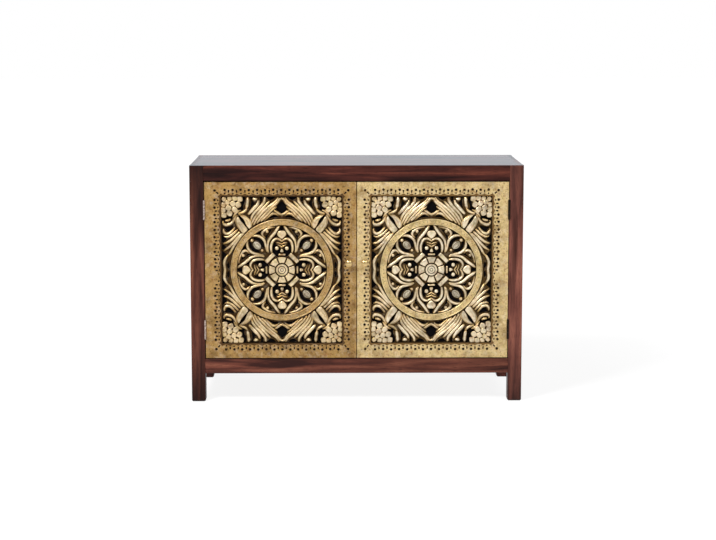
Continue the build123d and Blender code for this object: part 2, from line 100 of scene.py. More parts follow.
# %% Colour and node helpers
def paint(hex_code):
    """sRGB hex to linear red, green, blue and full alpha."""
    parts = [int(hex_code[i:i + 2], 16) / 255 for i in (1, 3, 5)]
    linear = [c / 12.92 if c <= 0.04045 else ((c + 0.055) / 1.055) ** 2.4 for c in parts]
    return (*linear, 1.0)


def add(tree, kind, inputs=None, **settings):
    """Adds one shader node; inputs are keyed by name or number and hold a value or a socket."""
    made = tree.nodes.new("ShaderNode" + kind)
    for key, value in settings.items():
        setattr(made, key, value)
    for key, value in (inputs or {}).items():
        if isinstance(value, bpy.types.NodeSocket):
            tree.links.new(value, made.inputs[key])
        else:
            made.inputs[key].default_value = value
    return made


def new_material(name):
    """An empty material with its tree and the output that the shader goes to."""
    material = bpy.data.materials.new(name)
    material.use_nodes = True
    material.node_tree.nodes.clear()
    return material, material.node_tree, add(material.node_tree, "OutputMaterial")


print("mid grey in linear light:", round(paint("#808080")[0], 3))

# %% [markdown]
# ### Glazes and ramps
# A finisher works in layers. Stain, patina and dust each take in some spots and not in others. So
# does a glaze here: a pattern says where a tint covers the colour below or deepens it. A pattern's
# size is known in millimetres, and a noise wants to know how often it fits into a metre.

# %% Glazes and ramps
def per_metre(size_mm):
    """How many times a size in mm fits into a metre."""
    return 1 / (size_mm * MM)


def set_stops(ramp, *stops):
    """Fills a colour ramp; each stop is a place from 0 to 1 and a hex colour."""
    elements = ramp.color_ramp.elements
    for element, (place, colour) in zip(elements, (stops[0], stops[-1])):
        element.position = place
        element.color = paint(colour)
    for place, colour in stops[1:-1]:
        elements.new(place).color = paint(colour)


def glaze(tree, under, tint, pattern, start, full, strength, blend_type="MIX"):
    """Lays a tint over a colour; the pattern's values from start to full bring it in."""
    amount = add(tree, "MapRange", {0: pattern, 1: start, 2: full, 3: 0.0, 4: strength})
    laid = add(tree, "Mix", {0: amount.outputs[0], 6: under, 7: paint(tint)},
               data_type="RGBA", blend_type=blend_type)
    return laid.outputs[2]


print("a 20 mm pattern repeats", round(per_metre(20)), "times a metre")


# %% [markdown]
# ## Floor
# A roll of white paper lies under the cabinet. Lit like everything else it would render grey, and
# more light would bleach the wood. So the eye, also through a mirror, is shown paper that glows
# and gets whiter away from the cabinet, and the rays that carry light meet plain paper. The
# shadow round the legs stays, because the glow is added to thin paper that still takes it.

# %% Floor
FLOOR_SIZE = 60.0
WHITER_FROM, WHITE_FROM = 0.9, 2.6
NEAR_GLOW, FULL_WHITE = 0.88, 1.0


def seen_by_eye(tree):
    """One for rays from the camera, in a mirror or through glass, zero for those with light."""
    ray = add(tree, "LightPath")
    seen = ray.outputs["Is Camera Ray"]
    for kind in ("Is Glossy Ray", "Is Transmission Ray"):
        seen = add(tree, "Math", {0: seen, 1: ray.outputs[kind]}, operation="MAXIMUM").outputs[0]
    return seen


select_only()
bpy.ops.mesh.primitive_plane_add(size=FLOOR_SIZE, location=(0, 0, 0))
floor = bpy.context.object
floor.name = "studio_floor"
white_paper, tree, out = new_material("white seamless paper")
paper = add(tree, "BsdfDiffuse", {"Color": paint("#E0E0E0")})
thin_paper = add(tree, "BsdfDiffuse", {"Color": paint("#707070")})
place = add(tree, "TexCoord").outputs["Object"]
away = add(tree, "VectorMath", {0: place}, operation="LENGTH").outputs["Value"]
whiter = add(tree, "MapRange", {
    0: away, 1: WHITER_FROM, 2: WHITE_FROM, 3: NEAR_GLOW, 4: FULL_WHITE,
})
glow = add(tree, "Emission", {"Color": (1, 1, 1, 1), "Strength": whiter.outputs[0]})
bright = add(tree, "AddShader", {0: thin_paper.outputs[0], 1: glow.outputs[0]})
either = add(tree, "MixShader", {0: seen_by_eye(tree), 1: paper.outputs[0], 2: bright.outputs[0]})
tree.links.new(either.outputs[0], out.inputs["Surface"])
floor.data.materials.append(white_paper)
print("floor:", FLOOR_SIZE, "m wide")

# %% [markdown]
# ## Room
# The room lights the cabinet dimly from all sides. The camera sees it white. Lacquer and brass
# mirror it, and what they mirror makes them look polished: the far wall is bright and cool, and
# the side behind the camera is darker, so the flat top shines and upright boards stay deep.

# %% Room
SKY_LIGHT = 0.26
ROOM_BEHIND, ROOM_AHEAD = (-0.15, 0.3), (0.25, 0.95)  # where along Y, and how bright

world = bpy.data.worlds.new("studio")
bpy.context.scene.world = world
world.use_nodes = True
world.node_tree.nodes.clear()
tree = world.node_tree
dim = add(tree, "Background", {"Color": (1, 1, 1, 1), "Strength": SKY_LIGHT})
white = add(tree, "Background", {"Color": (1, 1, 1, 1), "Strength": 1.0})
heading = add(tree, "SeparateXYZ", {0: add(tree, "TexCoord").outputs["Generated"]})
far_wall = add(tree, "MapRange", {
    0: heading.outputs["Y"], 1: ROOM_BEHIND[0], 2: ROOM_AHEAD[0],
    3: ROOM_BEHIND[1], 4: ROOM_AHEAD[1],
})
mirrored = add(tree, "Background", {"Color": paint("#F0F8FF"), "Strength": far_wall.outputs[0]})
glossy = add(tree, "LightPath").outputs["Is Glossy Ray"]
clear = add(tree, "MixShader", {0: glossy, 1: white.outputs[0], 2: mirrored.outputs[0]})
either = add(tree, "MixShader", {0: seen_by_eye(tree), 1: dim.outputs[0], 2: clear.outputs[0]})
tree.links.new(either.outputs[0], add(tree, "OutputWorld").inputs["Surface"])
print("world:", world.name)

# %% [markdown]
# ## Lamps
# A key lamp at the upper left models the carving: it is small enough for shadows that show each
# rib. A larger and weaker lamp at the right fills them. An area lamp shines along its own -Z
# axis, so each is turned until that axis points at the middle of the cabinet.

# %% Lamps
CABINET_MIDDLE = (0, 0, 0.4)


def lamp(name, place, size, power):
    """A square lamp that looks at the middle of the cabinet; size in metres, power in watts."""
    select_only()
    bpy.ops.object.light_add(type="AREA", location=place)
    made = bpy.context.object
    made.name = name
    made.data.size = size
    made.data.energy = power
    aim = Vector(CABINET_MIDDLE) - Vector(place)
    made.rotation_euler = aim.to_track_quat("-Z", "Y").to_euler()
    return made


lamps = [
    lamp("key lamp", (-2.0, -2.8, 3.5), 0.9, 195),
    lamp("fill lamp", (2.7, -3.3, 3.9), 2.0, 105),
]
print("lamps:", [made.name for made in lamps])


# %% [markdown]
# ## Wood
# The cabinet is a dark hardwood, stained to mahogany under a clear satin lacquer. Two things make
# it wood: streaks about 20 mm wide and fifteen times as long, and fine open pores. Both are noise
# drawn out along the grain, so each direction of grain gets its own material. The stain lies
# unevenly too, from one forearm's length to the next.

# %% Wood figure
GRAIN_AXES = "xyz"
STREAK_MM = 22
STREAK_LENGTH = 14  # how many times as long as it is wide
PORES_PER_STREAK = 12  # real pores are 0.3 mm wide; at 1.8 mm they are coarse enough to show
CLOUD_MM = 312.5
# The front posts are painted darker above and below this height, multiplied by this tint: painted
# shade.
MID_HEIGHT, END_SHADE_FROM, END_SHADE_TO = 0.38, 0.14, 0.38
END_SHADE_TINT = "#745E5C"


def grain_noise(tree, place, axis, width_mm, **settings):
    """Noise whose spots have this width and lie stretched along one axis."""
    across = per_metre(width_mm)
    scale = [across / STREAK_LENGTH if letter == axis else across for letter in GRAIN_AXES]
    drawn_out = add(tree, "Mapping", {"Vector": place, "Scale": scale}).outputs[0]
    return add(tree, "TexNoise", {"Vector": drawn_out, "Scale": 1.0, **settings}).outputs[0]


def wood_figure(tree, axis, tones, streak_mm, painted_end_shade):
    """The colour of stained wood, and its pores as a height."""
    dark, middle, light = tones
    place = add(tree, "TexCoord").outputs["Object"]
    streaks = grain_noise(tree, place, axis, streak_mm, Detail=5.0, Distortion=0.6)
    pores = grain_noise(tree, place, axis, streak_mm / PORES_PER_STREAK, Detail=2.0)
    cloud = add(tree, "TexNoise", {"Vector": place, "Scale": per_metre(CLOUD_MM), "Detail": 2.0})
    ramp = add(tree, "ValToRGB", {"Fac": streaks})
    set_stops(ramp, (0.36, dark), (0.52, middle), (0.70, light))
    colour = glaze(tree, ramp.outputs[0], dark, pores, 0.54, 0.66, 0.55)
    colour = glaze(tree, colour, middle, cloud.outputs[0], 0.35, 0.65, 0.5, "MULTIPLY")
    # Painted shade: an upright member is darkened towards its foot and its head.
    if painted_end_shade:
        level = add(tree, "SeparateXYZ", {0: place}).outputs["Z"]
        centred = add(tree, "Math", {0: level, 1: MID_HEIGHT}, operation="SUBTRACT").outputs[0]
        off_middle = add(tree, "Math", {0: centred}, operation="ABSOLUTE").outputs[0]
        colour = glaze(tree, colour, END_SHADE_TINT, off_middle, END_SHADE_FROM, END_SHADE_TO,
                       painted_end_shade, "MULTIPLY")
    return colour, pores


print("streaks:", STREAK_MM, "mm wide and", STREAK_MM * STREAK_LENGTH, "mm long")

# %% [markdown]
# ### The lacquer on the wood
# Lacquer is a second, clear surface over the wood, which the shader calls a coat. Only what faces
# up was rubbed to a shine, so the coat's weight follows the direction of the surface: full on
# the top, none on the fronts, where the sheen is that of the wood below. Pores dent both.

# %% Lacquered wood
WOOD_IOR, COAT_ROUGHNESS = 1.5, 0.12
PORE_DEPTH_MM = 0.4


def wood(name, axis, tones, streak_mm=STREAK_MM, roughness=0.42, gloss=0.16, coat=0.5,
         painted_end_shade=0.0):
    """Wood with its grain along one axis; a coat above zero is lacquer.

    Painted end shade is how much darker an upright member is painted towards its foot and its head,
    as painted shade.
    """
    material, tree, out = new_material(name)
    colour, pores = wood_figure(tree, axis, tones, streak_mm, painted_end_shade)
    relief = add(tree, "Bump", {
        "Strength": 0.25, "Distance": PORE_DEPTH_MM * MM, "Height": pores,
    }, invert=True)
    facing = add(tree, "NewGeometry").outputs["True Normal"]
    upward = add(tree, "SeparateXYZ", {0: facing}).outputs["Z"]
    rubbed_up = add(tree, "MapRange", {0: upward, 1: 0.8, 2: 0.95, 3: 0.0, 4: coat})
    shader = add(tree, "BsdfPrincipled", {
        "Base Color": colour, "Roughness": roughness, "IOR": WOOD_IOR,
        "Specular IOR Level": gloss, "Coat Weight": rubbed_up.outputs[0],
        "Coat Roughness": COAT_ROUGHNESS, "Normal": relief.outputs[0],
    })
    tree.links.new(shader.outputs[0], out.inputs["Surface"])
    return material


# Hardwood stained to mahogany, sprayed with satin lacquer: red-brown, soft sheen, visible grain.
MAHOGANY = ("#34130D", "#5A2A22", "#864636")
stained = {
    axis: wood(f"mahogany-stained wood, grain along {axis}", axis, MAHOGANY)
    for axis in GRAIN_AXES
}
# The top is one wide board, rubbed smoother: broader figure and a clearer mirror of the room.
polished = wood("mahogany-stained wood, polished top", "x", MAHOGANY, streak_mm=30, coat=0.6)
print("lacquered wood:", [material.name for material in (*stained.values(), polished)])

# %% [markdown]
# ### Boards that differ
# No two planks take stain alike, and that is what makes a cabinet look joined from real boards.
# So four members at the front have tones of their own; the right post's lighter tone is painted
# sheen. The two front posts are also painted darker towards the foot and the head: painted shade.

# %% Planks with their own tone
# A dense plank that soaked up the stain: near black-brown, and little sheen.
deep_stained = wood("mahogany-stained wood, darker plank", "x", ("#220907", "#4A221B", "#763E2F"),
                    gloss=0.14)
# A plank of redder heartwood under the same stain: warmer and a touch glossier.
warm_stained = wood("mahogany-stained wood, redder plank", "x", ("#34150F", "#6B3A2D", "#925A45"),
                    gloss=0.18)
# A post painted darker towards its foot and its head: painted shade.
stained_post = wood("mahogany-stained wood, post", "z", ("#38180F", "#603429", "#8C543F"),
                    painted_end_shade=0.95)
# The right post, a lighter copy of the left one: painted sheen where the lamp's shine shows most.
sheen_lit_post = wood("mahogany-stained wood, paler plank", "z", ("#482419", "#855044", "#AC6F5A"),
                    gloss=0.2, painted_end_shade=0.75)
own_tones = (deep_stained, warm_stained, stained_post, sheen_lit_post)
print("planks with their own tone:", len(own_tones))

# %% [markdown]
# ### Wood inside
# Nobody polishes the inside of a cabinet. Floor, shelf and cleats are planed and stained once, so
# they are matt and browner. The back is thin plywood, whose peeled veneer has a broad, calm figure.

# %% Unpolished wood
# Planed and stained, with no lacquer: dull, a little dusty brown.
plain_wood = {
    axis: wood(f"unpolished stained wood, grain along {axis}", axis,
               ("#4A2A1E", "#6B4030", "#7F5140"), streak_mm=26, roughness=0.62, gloss=0.3, coat=0)
    for axis in GRAIN_AXES
}
# Rotary-cut plywood under the same stain: wide soft streaks.
thin_ply = wood("stained plywood", "x", ("#4E2E20", "#6E4633", "#82573F"),
                streak_mm=40, roughness=0.6, gloss=0.3, coat=0)
print("unpolished wood:", len(plain_wood), "and", thin_ply.name)


# %% [markdown]
# ## Gilding
# The doors are carved wood, primed dark and brushed with gold-coloured metal paint. The gilder
# wipes a brown patina over it that stays in the hollows, and rubs the high points bright. So the
# colour follows height: how far a spot lies behind the door's face, times how open it is to the
# air around it, which ambient occlusion measures. The darkening in deep and narrow hollows is
# partly that patina and partly painted shade, and the pale tops are partly wear and partly
# painted highlight.

# %% Height in the carving
DOOR_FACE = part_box("door_right_stile_hinge")[0].y
FULL_SHADE_AO, NO_SHADE_AO = 0.38, 0.9
OCCLUSION_RAYS = 8


def height_and_painted_shade(tree, place, depth_mm, reach_mm):
    """One on open high ground, zero at a depth behind the door's face or in a narrow hollow; low
    values give patina and painted shade.
    """
    depth = add(tree, "SeparateXYZ", {0: place}).outputs["Y"]
    level = add(tree, "MapRange", {0: depth, 1: DOOR_FACE + depth_mm * MM, 2: DOOR_FACE})
    # Ambient occlusion darkens narrow hollows: patina, and partly painted shade.
    air = add(tree, "AmbientOcclusion", {"Distance": reach_mm * MM}, samples=OCCLUSION_RAYS)
    unshaded_part = add(tree, "MapRange", {0: air.outputs["AO"], 1: FULL_SHADE_AO, 2: NO_SHADE_AO})
    both = {0: level.outputs[0], 1: unshaded_part.outputs[0]}
    return add(tree, "Math", both, operation="MULTIPLY").outputs[0]


print("gilding starts at y =", round(DOOR_FACE, 4))

# %% [markdown]
# ### Gold paint
# A ramp on that height goes from near black through brown to gold and to rubbed gold: painted
# shade in the deepest hollows, patina above it, and pale tops that are partly painted highlight.
# Metal paint is never even, so three noises break it up: worn patches a thumb wide, spots that
# lean to copper, to green or to bare pale gold, and fine speckle of dirt. Leaf-thin paint on wood
# is only partly metal to the eye, so the shader's metallic value stays between 0.3 and 0.7.

# %% Gold paint
WORN_MM, SPOT_MM, SPECKLE_MM = 33.33, 13.33, 5.263
COPPER, VERDIGRIS, BARE_GOLD = "#C08A66", "#C9CC8C", "#FFF8E8"
BRUSHWORK_MM = 0.8


def gilding(name, tones, depth_mm, speckle, reach_mm, metallic, bare_part=0.35):
    """Gold paint with patina; its tones go from painted shade in the deepest hollow to rubbed tops
    with a painted highlight.
    """
    material, tree, out = new_material(name)
    deep_shade, hollow, gold, rubbed_highlight = tones
    place = add(tree, "TexCoord").outputs["Object"]
    height = height_and_painted_shade(tree, place, depth_mm, reach_mm)
    ramp = add(tree, "ValToRGB", {"Fac": height})
    set_stops(ramp, (0.0, deep_shade), (0.18, hollow), (0.48, gold), (0.94, rubbed_highlight))
    worn, fine, spots = (
        add(tree, "TexNoise", {"Vector": place, "Scale": per_metre(size), **settings})
        for size, settings in (
            (WORN_MM, {"Detail": 4.0}),
            (SPECKLE_MM, {"Detail": 5.0, "Roughness": 0.65}),
            (SPOT_MM, {"Detail": 3.0, "Roughness": 0.6}),
        )
    )
    tints = add(tree, "SeparateColor", {0: spots.outputs[1]}).outputs
    colour = glaze(tree, ramp.outputs[0], hollow, worn.outputs[0], 0.46, 0.7, 0.5)
    colour = glaze(tree, colour, hollow, fine.outputs[0], 0.52, 0.7, speckle)
    colour = glaze(tree, colour, COPPER, tints[0], 0.52, 0.72, 0.5, "MULTIPLY")
    colour = glaze(tree, colour, VERDIGRIS, tints[1], 0.52, 0.72, 0.5, "MULTIPLY")
    # Bare pale gold grows with height, strongest on the high points: wear, and partly painted
    # highlight.
    bare = add(tree, "MapRange", {0: tints[2], 1: 0.5, 2: 0.7, 3: 0.0, 4: bare_part})
    rubbed_bare = add(tree, "Math", {0: bare.outputs[0], 1: height}, operation="MULTIPLY")
    colour = add(tree, "Mix", {0: rubbed_bare.outputs[0], 6: colour, 7: paint(BARE_GOLD)},
                 data_type="RGBA").outputs[2]
    relief = add(tree, "Bump", {
        "Strength": 0.5, "Distance": BRUSHWORK_MM * MM, "Height": fine.outputs[0],
    })
    shader = add(tree, "BsdfPrincipled", {
        "Base Color": colour, "Metallic": metallic, "Roughness": 0.36,
        "Specular IOR Level": 0.2, "Normal": relief.outputs[0],
    })
    tree.links.new(shader.outputs[0], out.inputs["Surface"])
    return material


print("gold wears in patches of", round(WORN_MM), "mm")

# %% [markdown]
# ### The golds of the two doors
# The left door's golds are painted darker and browner than the right door's: painted shade on the
# left door and painted sheen on the right, so each finish comes twice. The carving has the whole
# range from black to bright. On the ring and the smooth frame nothing lies deep, so they keep an
# even, browner gold, and their speckle is what the eye sees.

# %% Golds of both doors
CARVED = {"depth_mm": 10.5, "speckle": 0.3, "reach_mm": 8, "metallic": 0.7}
BAND = {"depth_mm": 10.5, "speckle": 0.7, "reach_mm": 5, "metallic": 0.45, "bare_part": 0.2}
SMOOTH = {"depth_mm": 1.5, "speckle": 0.8, "reach_mm": 2, "metallic": 0.3}
# Metal paint rubbed on carved wood: pale gold on the tops, partly painted highlight, and dark brown
# between them, patina and partly painted shade.
# The left door's copy is darker as painted shade, the right door's lighter as painted sheen.
carved_gold = {
    "left": gilding("browner gold paint with patina, carved",
                    ("#080402", "#3C280F", "#BE9A60", "#FFEEC8"), **CARVED),
    "right": gilding("gold paint with patina, carved",
                     ("#080402", "#463214", "#D0AE76", "#FFF8E2"), **CARVED),
}
# The same paint on the turned band, rubbed less: a quieter ring round the bright middle.
# The left door's copy is darker as painted shade, the right door's lighter as painted sheen.
ring_gold = {
    "left": gilding("browner gold paint with patina, ring",
                    ("#0C0703", "#3E2812", "#A68654", "#CDAA70"), **BAND),
    "right": gilding("gold paint with patina, ring",
                     ("#0C0703", "#4A3418", "#C2A46C", "#EED8A2"), **BAND),
}
# Gold worn down to its chalk ground by polishing cloths: the seeds read as pale inlay.
seed_gold = gilding("worn pale gold, seeds", ("#0C0703", "#483A28", "#AC9E84", "#EFE6D0"),
                    depth_mm=10.5, speckle=0.6, reach_mm=5, metallic=0.4)
# Paint brushed on flat frames, where only the punched marks are deep enough to go dark.
# The left door's copy is darker as painted shade, the right door's lighter as painted sheen.
flat_gold = {
    "left": gilding("browner gold paint with patina, smooth",
                    ("#180A03", "#4E3417", "#9C7B48", "#A8854F"), **SMOOTH, bare_part=0.12),
    "right": gilding("gold paint with patina, smooth",
                     ("#180A03", "#6C4E26", "#C2A672", "#D0B681"), **SMOOTH, bare_part=0.15),
}
print("golds:", len(carved_gold) + len(ring_gold) + len(flat_gold) + 1)


# %% [markdown]
# ## Black board, metal and plastic
# Small parts need little: a colour that wanders between two close values in noise a few
# millimetres wide, as wear and handling leave it, and a roughness that says how it was made.
# Real wear is finer than that. It is drawn this coarse so that it shows.

# %% Small finishes
METAL_CONTRAST, METAL_RELIEF = 0.15, 0.1
SKIN_DEPTH_MM = 0.2


def simple_finish(name, light, dark, spot_mm, contrast, bump, **socket):
    """A finish whose colour wanders between two values in fine noise."""
    material, tree, out = new_material(name)
    place = add(tree, "TexCoord").outputs["Object"]
    noise = add(tree, "TexNoise", {
        "Vector": place, "Scale": per_metre(spot_mm), "Detail": 3.0,
    }).outputs[0]
    colour = glaze(tree, paint(dark), light, noise, 0.5 - contrast, 0.5 + contrast, 1.0)
    relief = add(tree, "Bump", {
        "Strength": bump, "Distance": SKIN_DEPTH_MM * MM, "Height": noise,
    })
    shader = add(tree, "BsdfPrincipled", {
        "Base Color": colour, "Normal": relief.outputs[0], **socket,
    })
    tree.links.new(shader.outputs[0], out.inputs["Surface"])
    return material


def metal_finish(name, light, dark, spot_mm, roughness):
    """A metal with hardly any relief; its shine comes from its roughness."""
    return simple_finish(name, light, dark, spot_mm, METAL_CONTRAST, METAL_RELIEF,
                         Metallic=1.0, Roughness=roughness)


# Blackboard paint brushed on the backing: it returns almost no light, so the voids look deep.
black_paint = simple_finish("matt black paint", "#0C090A", "#040304", 11.11, 0.2, 0.3,
                            **{"Roughness": 0.9, "Specular IOR Level": 0.08})
# Turned, polished and lacquered brass of the knobs: yellow, with a soft, warm highlight.
brass = metal_finish("lacquered brass", "#DCC08A", "#BB9A62", 7.143, 0.28)
# Hinges of nickel-plated brass. The left ones keep their worn plating, and the right ones are
# painted
# near black: painted shade, where the door's edge shades them.
hinge_metal = {
    "left": metal_finish("worn nickel-plated brass", "#C4B2A8", "#8A766A", 6.25, 0.2),
    "right": metal_finish("blackened brass", "#2C2522", "#15110F", 6.25, 0.4),
}
# Zinc-plated steel of screws and strike plates: grey, faintly crystalline, not quite shiny.
steel = metal_finish("zinc-plated steel", "#C9C6BC", "#A29F94", 5.0, 0.35)
# Injection-moulded plastic of the catches: even brown with a satin skin.
brown_plastic = simple_finish("brown moulded plastic", "#4A3125", "#3C271D", 3.333, 0.2, 0.2,
                              Roughness=0.45, IOR=1.49)
print("materials so far:", len(bpy.data.materials))


# %% [markdown]
# ## Finishes on the CAD nodes
# A piece whose solid is right keeps it and only gets its material. Grain always runs along a
# board, so it follows the longest side of the node's box. Names tell what the rest is made of.

# %% Dress the CAD nodes
OWN_FINISH = {
    "rail_front_top": deep_stained, "rail_front_bottom": warm_stained,
    "post_front_left": stained_post, "post_front_right": sheen_lit_post,
    "top_board": polished, "panel_back": thin_ply,
    "catch_left": brown_plastic, "catch_right": brown_plastic,
}
UNPOLISHED = ("bottom_board", "bottom_cleats", "shelf", "catch_block")


def longest_axis(name):
    """The letter of the longest side of a node's box."""
    low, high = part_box(name)
    size = high - low
    return GRAIN_AXES[max(range(3), key=lambda index: size[index])]


def finish_for(name):
    """The finish of a CAD node, from its name."""
    side = "left" if "_left" in name else "right"
    by_ending = {
        "knob": brass, "leaf": hinge_metal[side], "pin": hinge_metal[side], "strike": steel,
        "backing": black_paint, "fret": carved_gold[side],
    }
    if name in OWN_FINISH:
        return OWN_FINISH[name]
    if name.split("_")[-1] in by_ending:
        return by_ending[name.split("_")[-1]]
    if name.startswith("door_") and ("_stile_" in name or "_rail_" in name):
        return flat_gold[side]
    if name in UNPOLISHED or name.startswith("shelf_cleat") or name.endswith("_beads"):
        return plain_wood[longest_axis(name)]
    return stained[longest_axis(name)]


for name in NODES:
    slots = NODES[name].data.materials
    slots.clear()
    slots.append(finish_for(name))
print("dressed", len(NODES), "nodes")

# %% [markdown]
# ## The carved panels
# Each door holds a pierced board. A carver saws the openings with a fretsaw first, so that the
# black board behind shows through, and then rounds everything that stays: ribs, leaves, buds and
# beads. Here the sawn board is a flat curve with holes, and the rounded forms are laid on it. All
# of it is made on a bench at the origin, standing upright and facing -Y, in millimetres from the
# middle of the ring: u to the right, v up. The ornament is symmetrical, so only one part of each
# form is drawn, and mirrors and quarter turns make the rest.

# %% The bench
PANEL_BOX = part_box("door_right_fret")
PANEL_CENTRE = (PANEL_BOX[0] + PANEL_BOX[1]) / 2
HALF_WIDTH, HALF_HEIGHT = 196.375, 241.0  # of the opening in the door's frame
PLATE_THICK = 4.5
PLATE_FACE = PANEL_BOX[1].y - PLATE_THICK * MM
RELIEF_ROOM = (PLATE_FACE - DOOR_FACE) / MM
print("relief up to", round(RELIEF_ROOM, 2), "mm above the sawn board")

# %% [markdown]
# ### Drawing outlines
# An opening is a list of corners with the middle of each arc between them, as a carver marks them
# from a paper pattern. Three points fix a smooth arc. Flipping and turning the list gives the same
# opening on the other sides of the ring.

# %% Arcs, flips and turns
ARC_STEPS = 4


def bow(start, through, end, t):
    """A point on the smooth arc from start to end that passes through the middle one."""
    weights = ((1 - t) * (1 - 2 * t), 4 * t * (1 - t), t * (2 * t - 1))
    return tuple(sum(w * p[i] for w, p in zip(weights, (start, through, end))) for i in (0, 1))


def bowed_outline(points):
    """A closed outline whose list alternates corner and the middle of the arc to the next corner.

    None in place of a middle makes that side straight.
    """
    outline = []
    corners, middles = points[0::2], points[1::2]
    for index, (corner, middle) in enumerate(zip(corners, middles)):
        following = corners[(index + 1) % len(corners)]
        outline.append(corner)
        if middle is not None:
            outline += [bow(corner, middle, following, step / ARC_STEPS)
                        for step in range(1, ARC_STEPS)]
    return outline


def flipped(points, u_sign=1, v_sign=1):
    """The same list on another side of the middle; None stays None."""
    return [None if point is None else (u_sign * point[0], v_sign * point[1]) for point in points]


def turned(points, degrees):
    """The same list turned anticlockwise about the middle of the ring."""
    c, s = math.cos(math.radians(degrees)), math.sin(math.radians(degrees))
    return [None if p is None else (c * p[0] - s * p[1], s * p[0] + c * p[1]) for p in points]


def ran_forward(outline):
    """The outline in anticlockwise order."""
    area = sum(a[0] * b[1] - b[0] * a[1] for a, b in zip(outline, outline[1:] + outline[:1]))
    return outline if area > 0 else outline[::-1]


print("a corner turned by 90 degrees:", [round(c, 3) for c in turned([(1, 0)], 90)[0]])

# %% [markdown]
# ### The sawn openings
# Every opening inside the ring comes four or eight times, by quarter turns and flips. Those
# in the corners come four times, by flips alone, because the panel is taller than it is wide.

# %% Outlines of the sawn openings
APEX_VOID = [(0, 145), (2.5, 144.6), (3.5, 143.5), (5, 138), (7, 131), (3.5, 129.4), (0, 129),
             (-3.5, 129.4), (-7, 131), (-5, 138), (-3.5, 143.5), (-2.5, 144.6)]
BUD_VOID = [(16.5, 117), (22, 113), (26, 107.5), (21, 106.5), (15.5, 107.5), (17, 112)]
SPANDREL_VOID = [(30.5, 131), (36, 131), (40.5, 128.5), (43, 119), (52.5, 112.5), (53.5, 105),
                 (50.5, 98), (42.5, 115.5)]
RING_VOID = [(64, 129.9), (76.9, 122.7), (87, 115.8), None, (70, 115.5), None]
CURL_VOID = [(18, 90), (26.5, 86), (31, 66), (28, 55), (22, 47), (15, 43.4), (7, 43.6),
             None, (4, 60), (7, 71), (16, 80), (19, 85)]
EYE_VOID = [(58, 69), (61.5, 95), (91, 107.5), (92, 103), (89.5, 98), (73, 91.5), (66, 76),
            (61.5, 72)]
CREST_VOID = [(0, 225), (8, 218), (17, 206), (16, 196), (9, 189), (5, 187), (0, 185), (-5, 187),
              (-9, 189), (-16, 196), (-17, 206), (-8, 218)]
CORNER_VOIDS = [
    [(7, 171), (22, 178.5), (34, 174.5), (42, 170), (50, 163.5), (28, 170.3)],
    [(21, 239), (24, 233), (30, 229), (38, 227.5), (45, 231.5), (49, 236), (49.5, 239), None],
    [(60, 239), (63, 234), (63, 226), (66, 221.5), (69.5, 226), (70, 235), (75, 239), None],
    [(93.5, 239), (96, 231), (91, 222), (86.5, 219.5), (87.5, 215), (98, 203), (108, 190),
     (101.5, 201), (99.5, 213), (98.5, 227), (104, 239), None],
    [(119, 239), (117.5, 228), (122, 214), (124.5, 206), (121, 197.5), (128, 193), (135, 194.5),
     (139.5, 201), (136, 207), (130, 213), (131, 222), (127, 231), (128, 239), None],
    [(194, 167), (180, 172.5), (164, 178), (160, 176), (161, 164), (171, 161.5), (180, 158),
     (188, 157.5), (194, 159), None],
    [(140, 179), (124.5, 167), (117.5, 147), (131.5, 160)],
    [(194, 142), (178, 139.5), (156, 146), (161, 135), (168, 127), (174, 125), (180, 127.5),
     (188, 138), (194, 134), None],
    [(194, 118), (189, 112), (179, 101), (184, 93), (194, 89), None],
    [(194, 84), (187, 81), (177, 74), (183, 66.5), (194, 67), None],
    [(194, 61), (188, 59), (179, 50), (186, 39), (194, 28), None],
    [(174, 27.5), (170.5, 14), (173, 3), (179, 14)],
]
QUARTERS = (0, 90, 180, 270)
openings = [bowed_outline(turned(APEX_VOID, quarter)) for quarter in QUARTERS]
for void in (BUD_VOID, SPANDREL_VOID, RING_VOID, CURL_VOID, EYE_VOID):
    for sign in (1, -1):
        openings += [bowed_outline(turned(flipped(void, sign), quarter)) for quarter in QUARTERS]
openings += [bowed_outline(flipped(CREST_VOID, 1, sign)) for sign in (1, -1)]
for void in CORNER_VOIDS:
    openings += [bowed_outline(flipped(void, u, v)) for u in (1, -1) for v in (1, -1)]
print("openings in one panel:", len(openings))

# %% [markdown]
# ### The sawn board
# The real board is one plank, sawn through. A flat curve is the easiest way to it in Blender: an
# outer outline and others inside it that run the other way fill themselves as a board with holes.
# Extrusion gives it thickness and a small bevel takes the saw's sharp edge off. It is made a mesh
# while it lies flat, and is stood upright afterwards.

# %% Turn a flat curve into an upright mesh
def curve_made_mesh(name, drawing):
    """Puts a curve on the bench as a mesh, selected."""
    made = bpy.data.objects.new(name, drawing)
    bpy.context.collection.objects.link(made)
    select_only(made)
    bpy.ops.object.convert(target="MESH")
    return made


def fretwork(name, outer, holes, thick, ease, level):
    """A flat board with holes, upright; level is how far its back stands above the plate."""
    drawing = bpy.data.curves.new(name, "CURVE")
    drawing.dimensions = "2D"
    drawing.fill_mode = "BOTH"
    drawing.extrude = (thick / 2 - ease) * MM
    drawing.bevel_depth = ease * MM
    drawing.bevel_resolution = 1
    drawing.offset = -ease * MM
    for outline in [ran_forward(outer)] + [ran_forward(hole)[::-1] for hole in holes]:
        spline = drawing.splines.new("POLY")
        spline.points.add(len(outline) - 1)
        spline.use_cyclic_u = True
        for point, (u, v) in zip(spline.points, outline):
            point.co = (u * MM, v * MM, 0, 1)
    made = curve_made_mesh(name, drawing)
    made.rotation_euler.x = math.radians(90)
    made.location.y = -(level + thick / 2) * MM
    bpy.ops.object.transform_apply(location=True, rotation=True, scale=True)
    return made


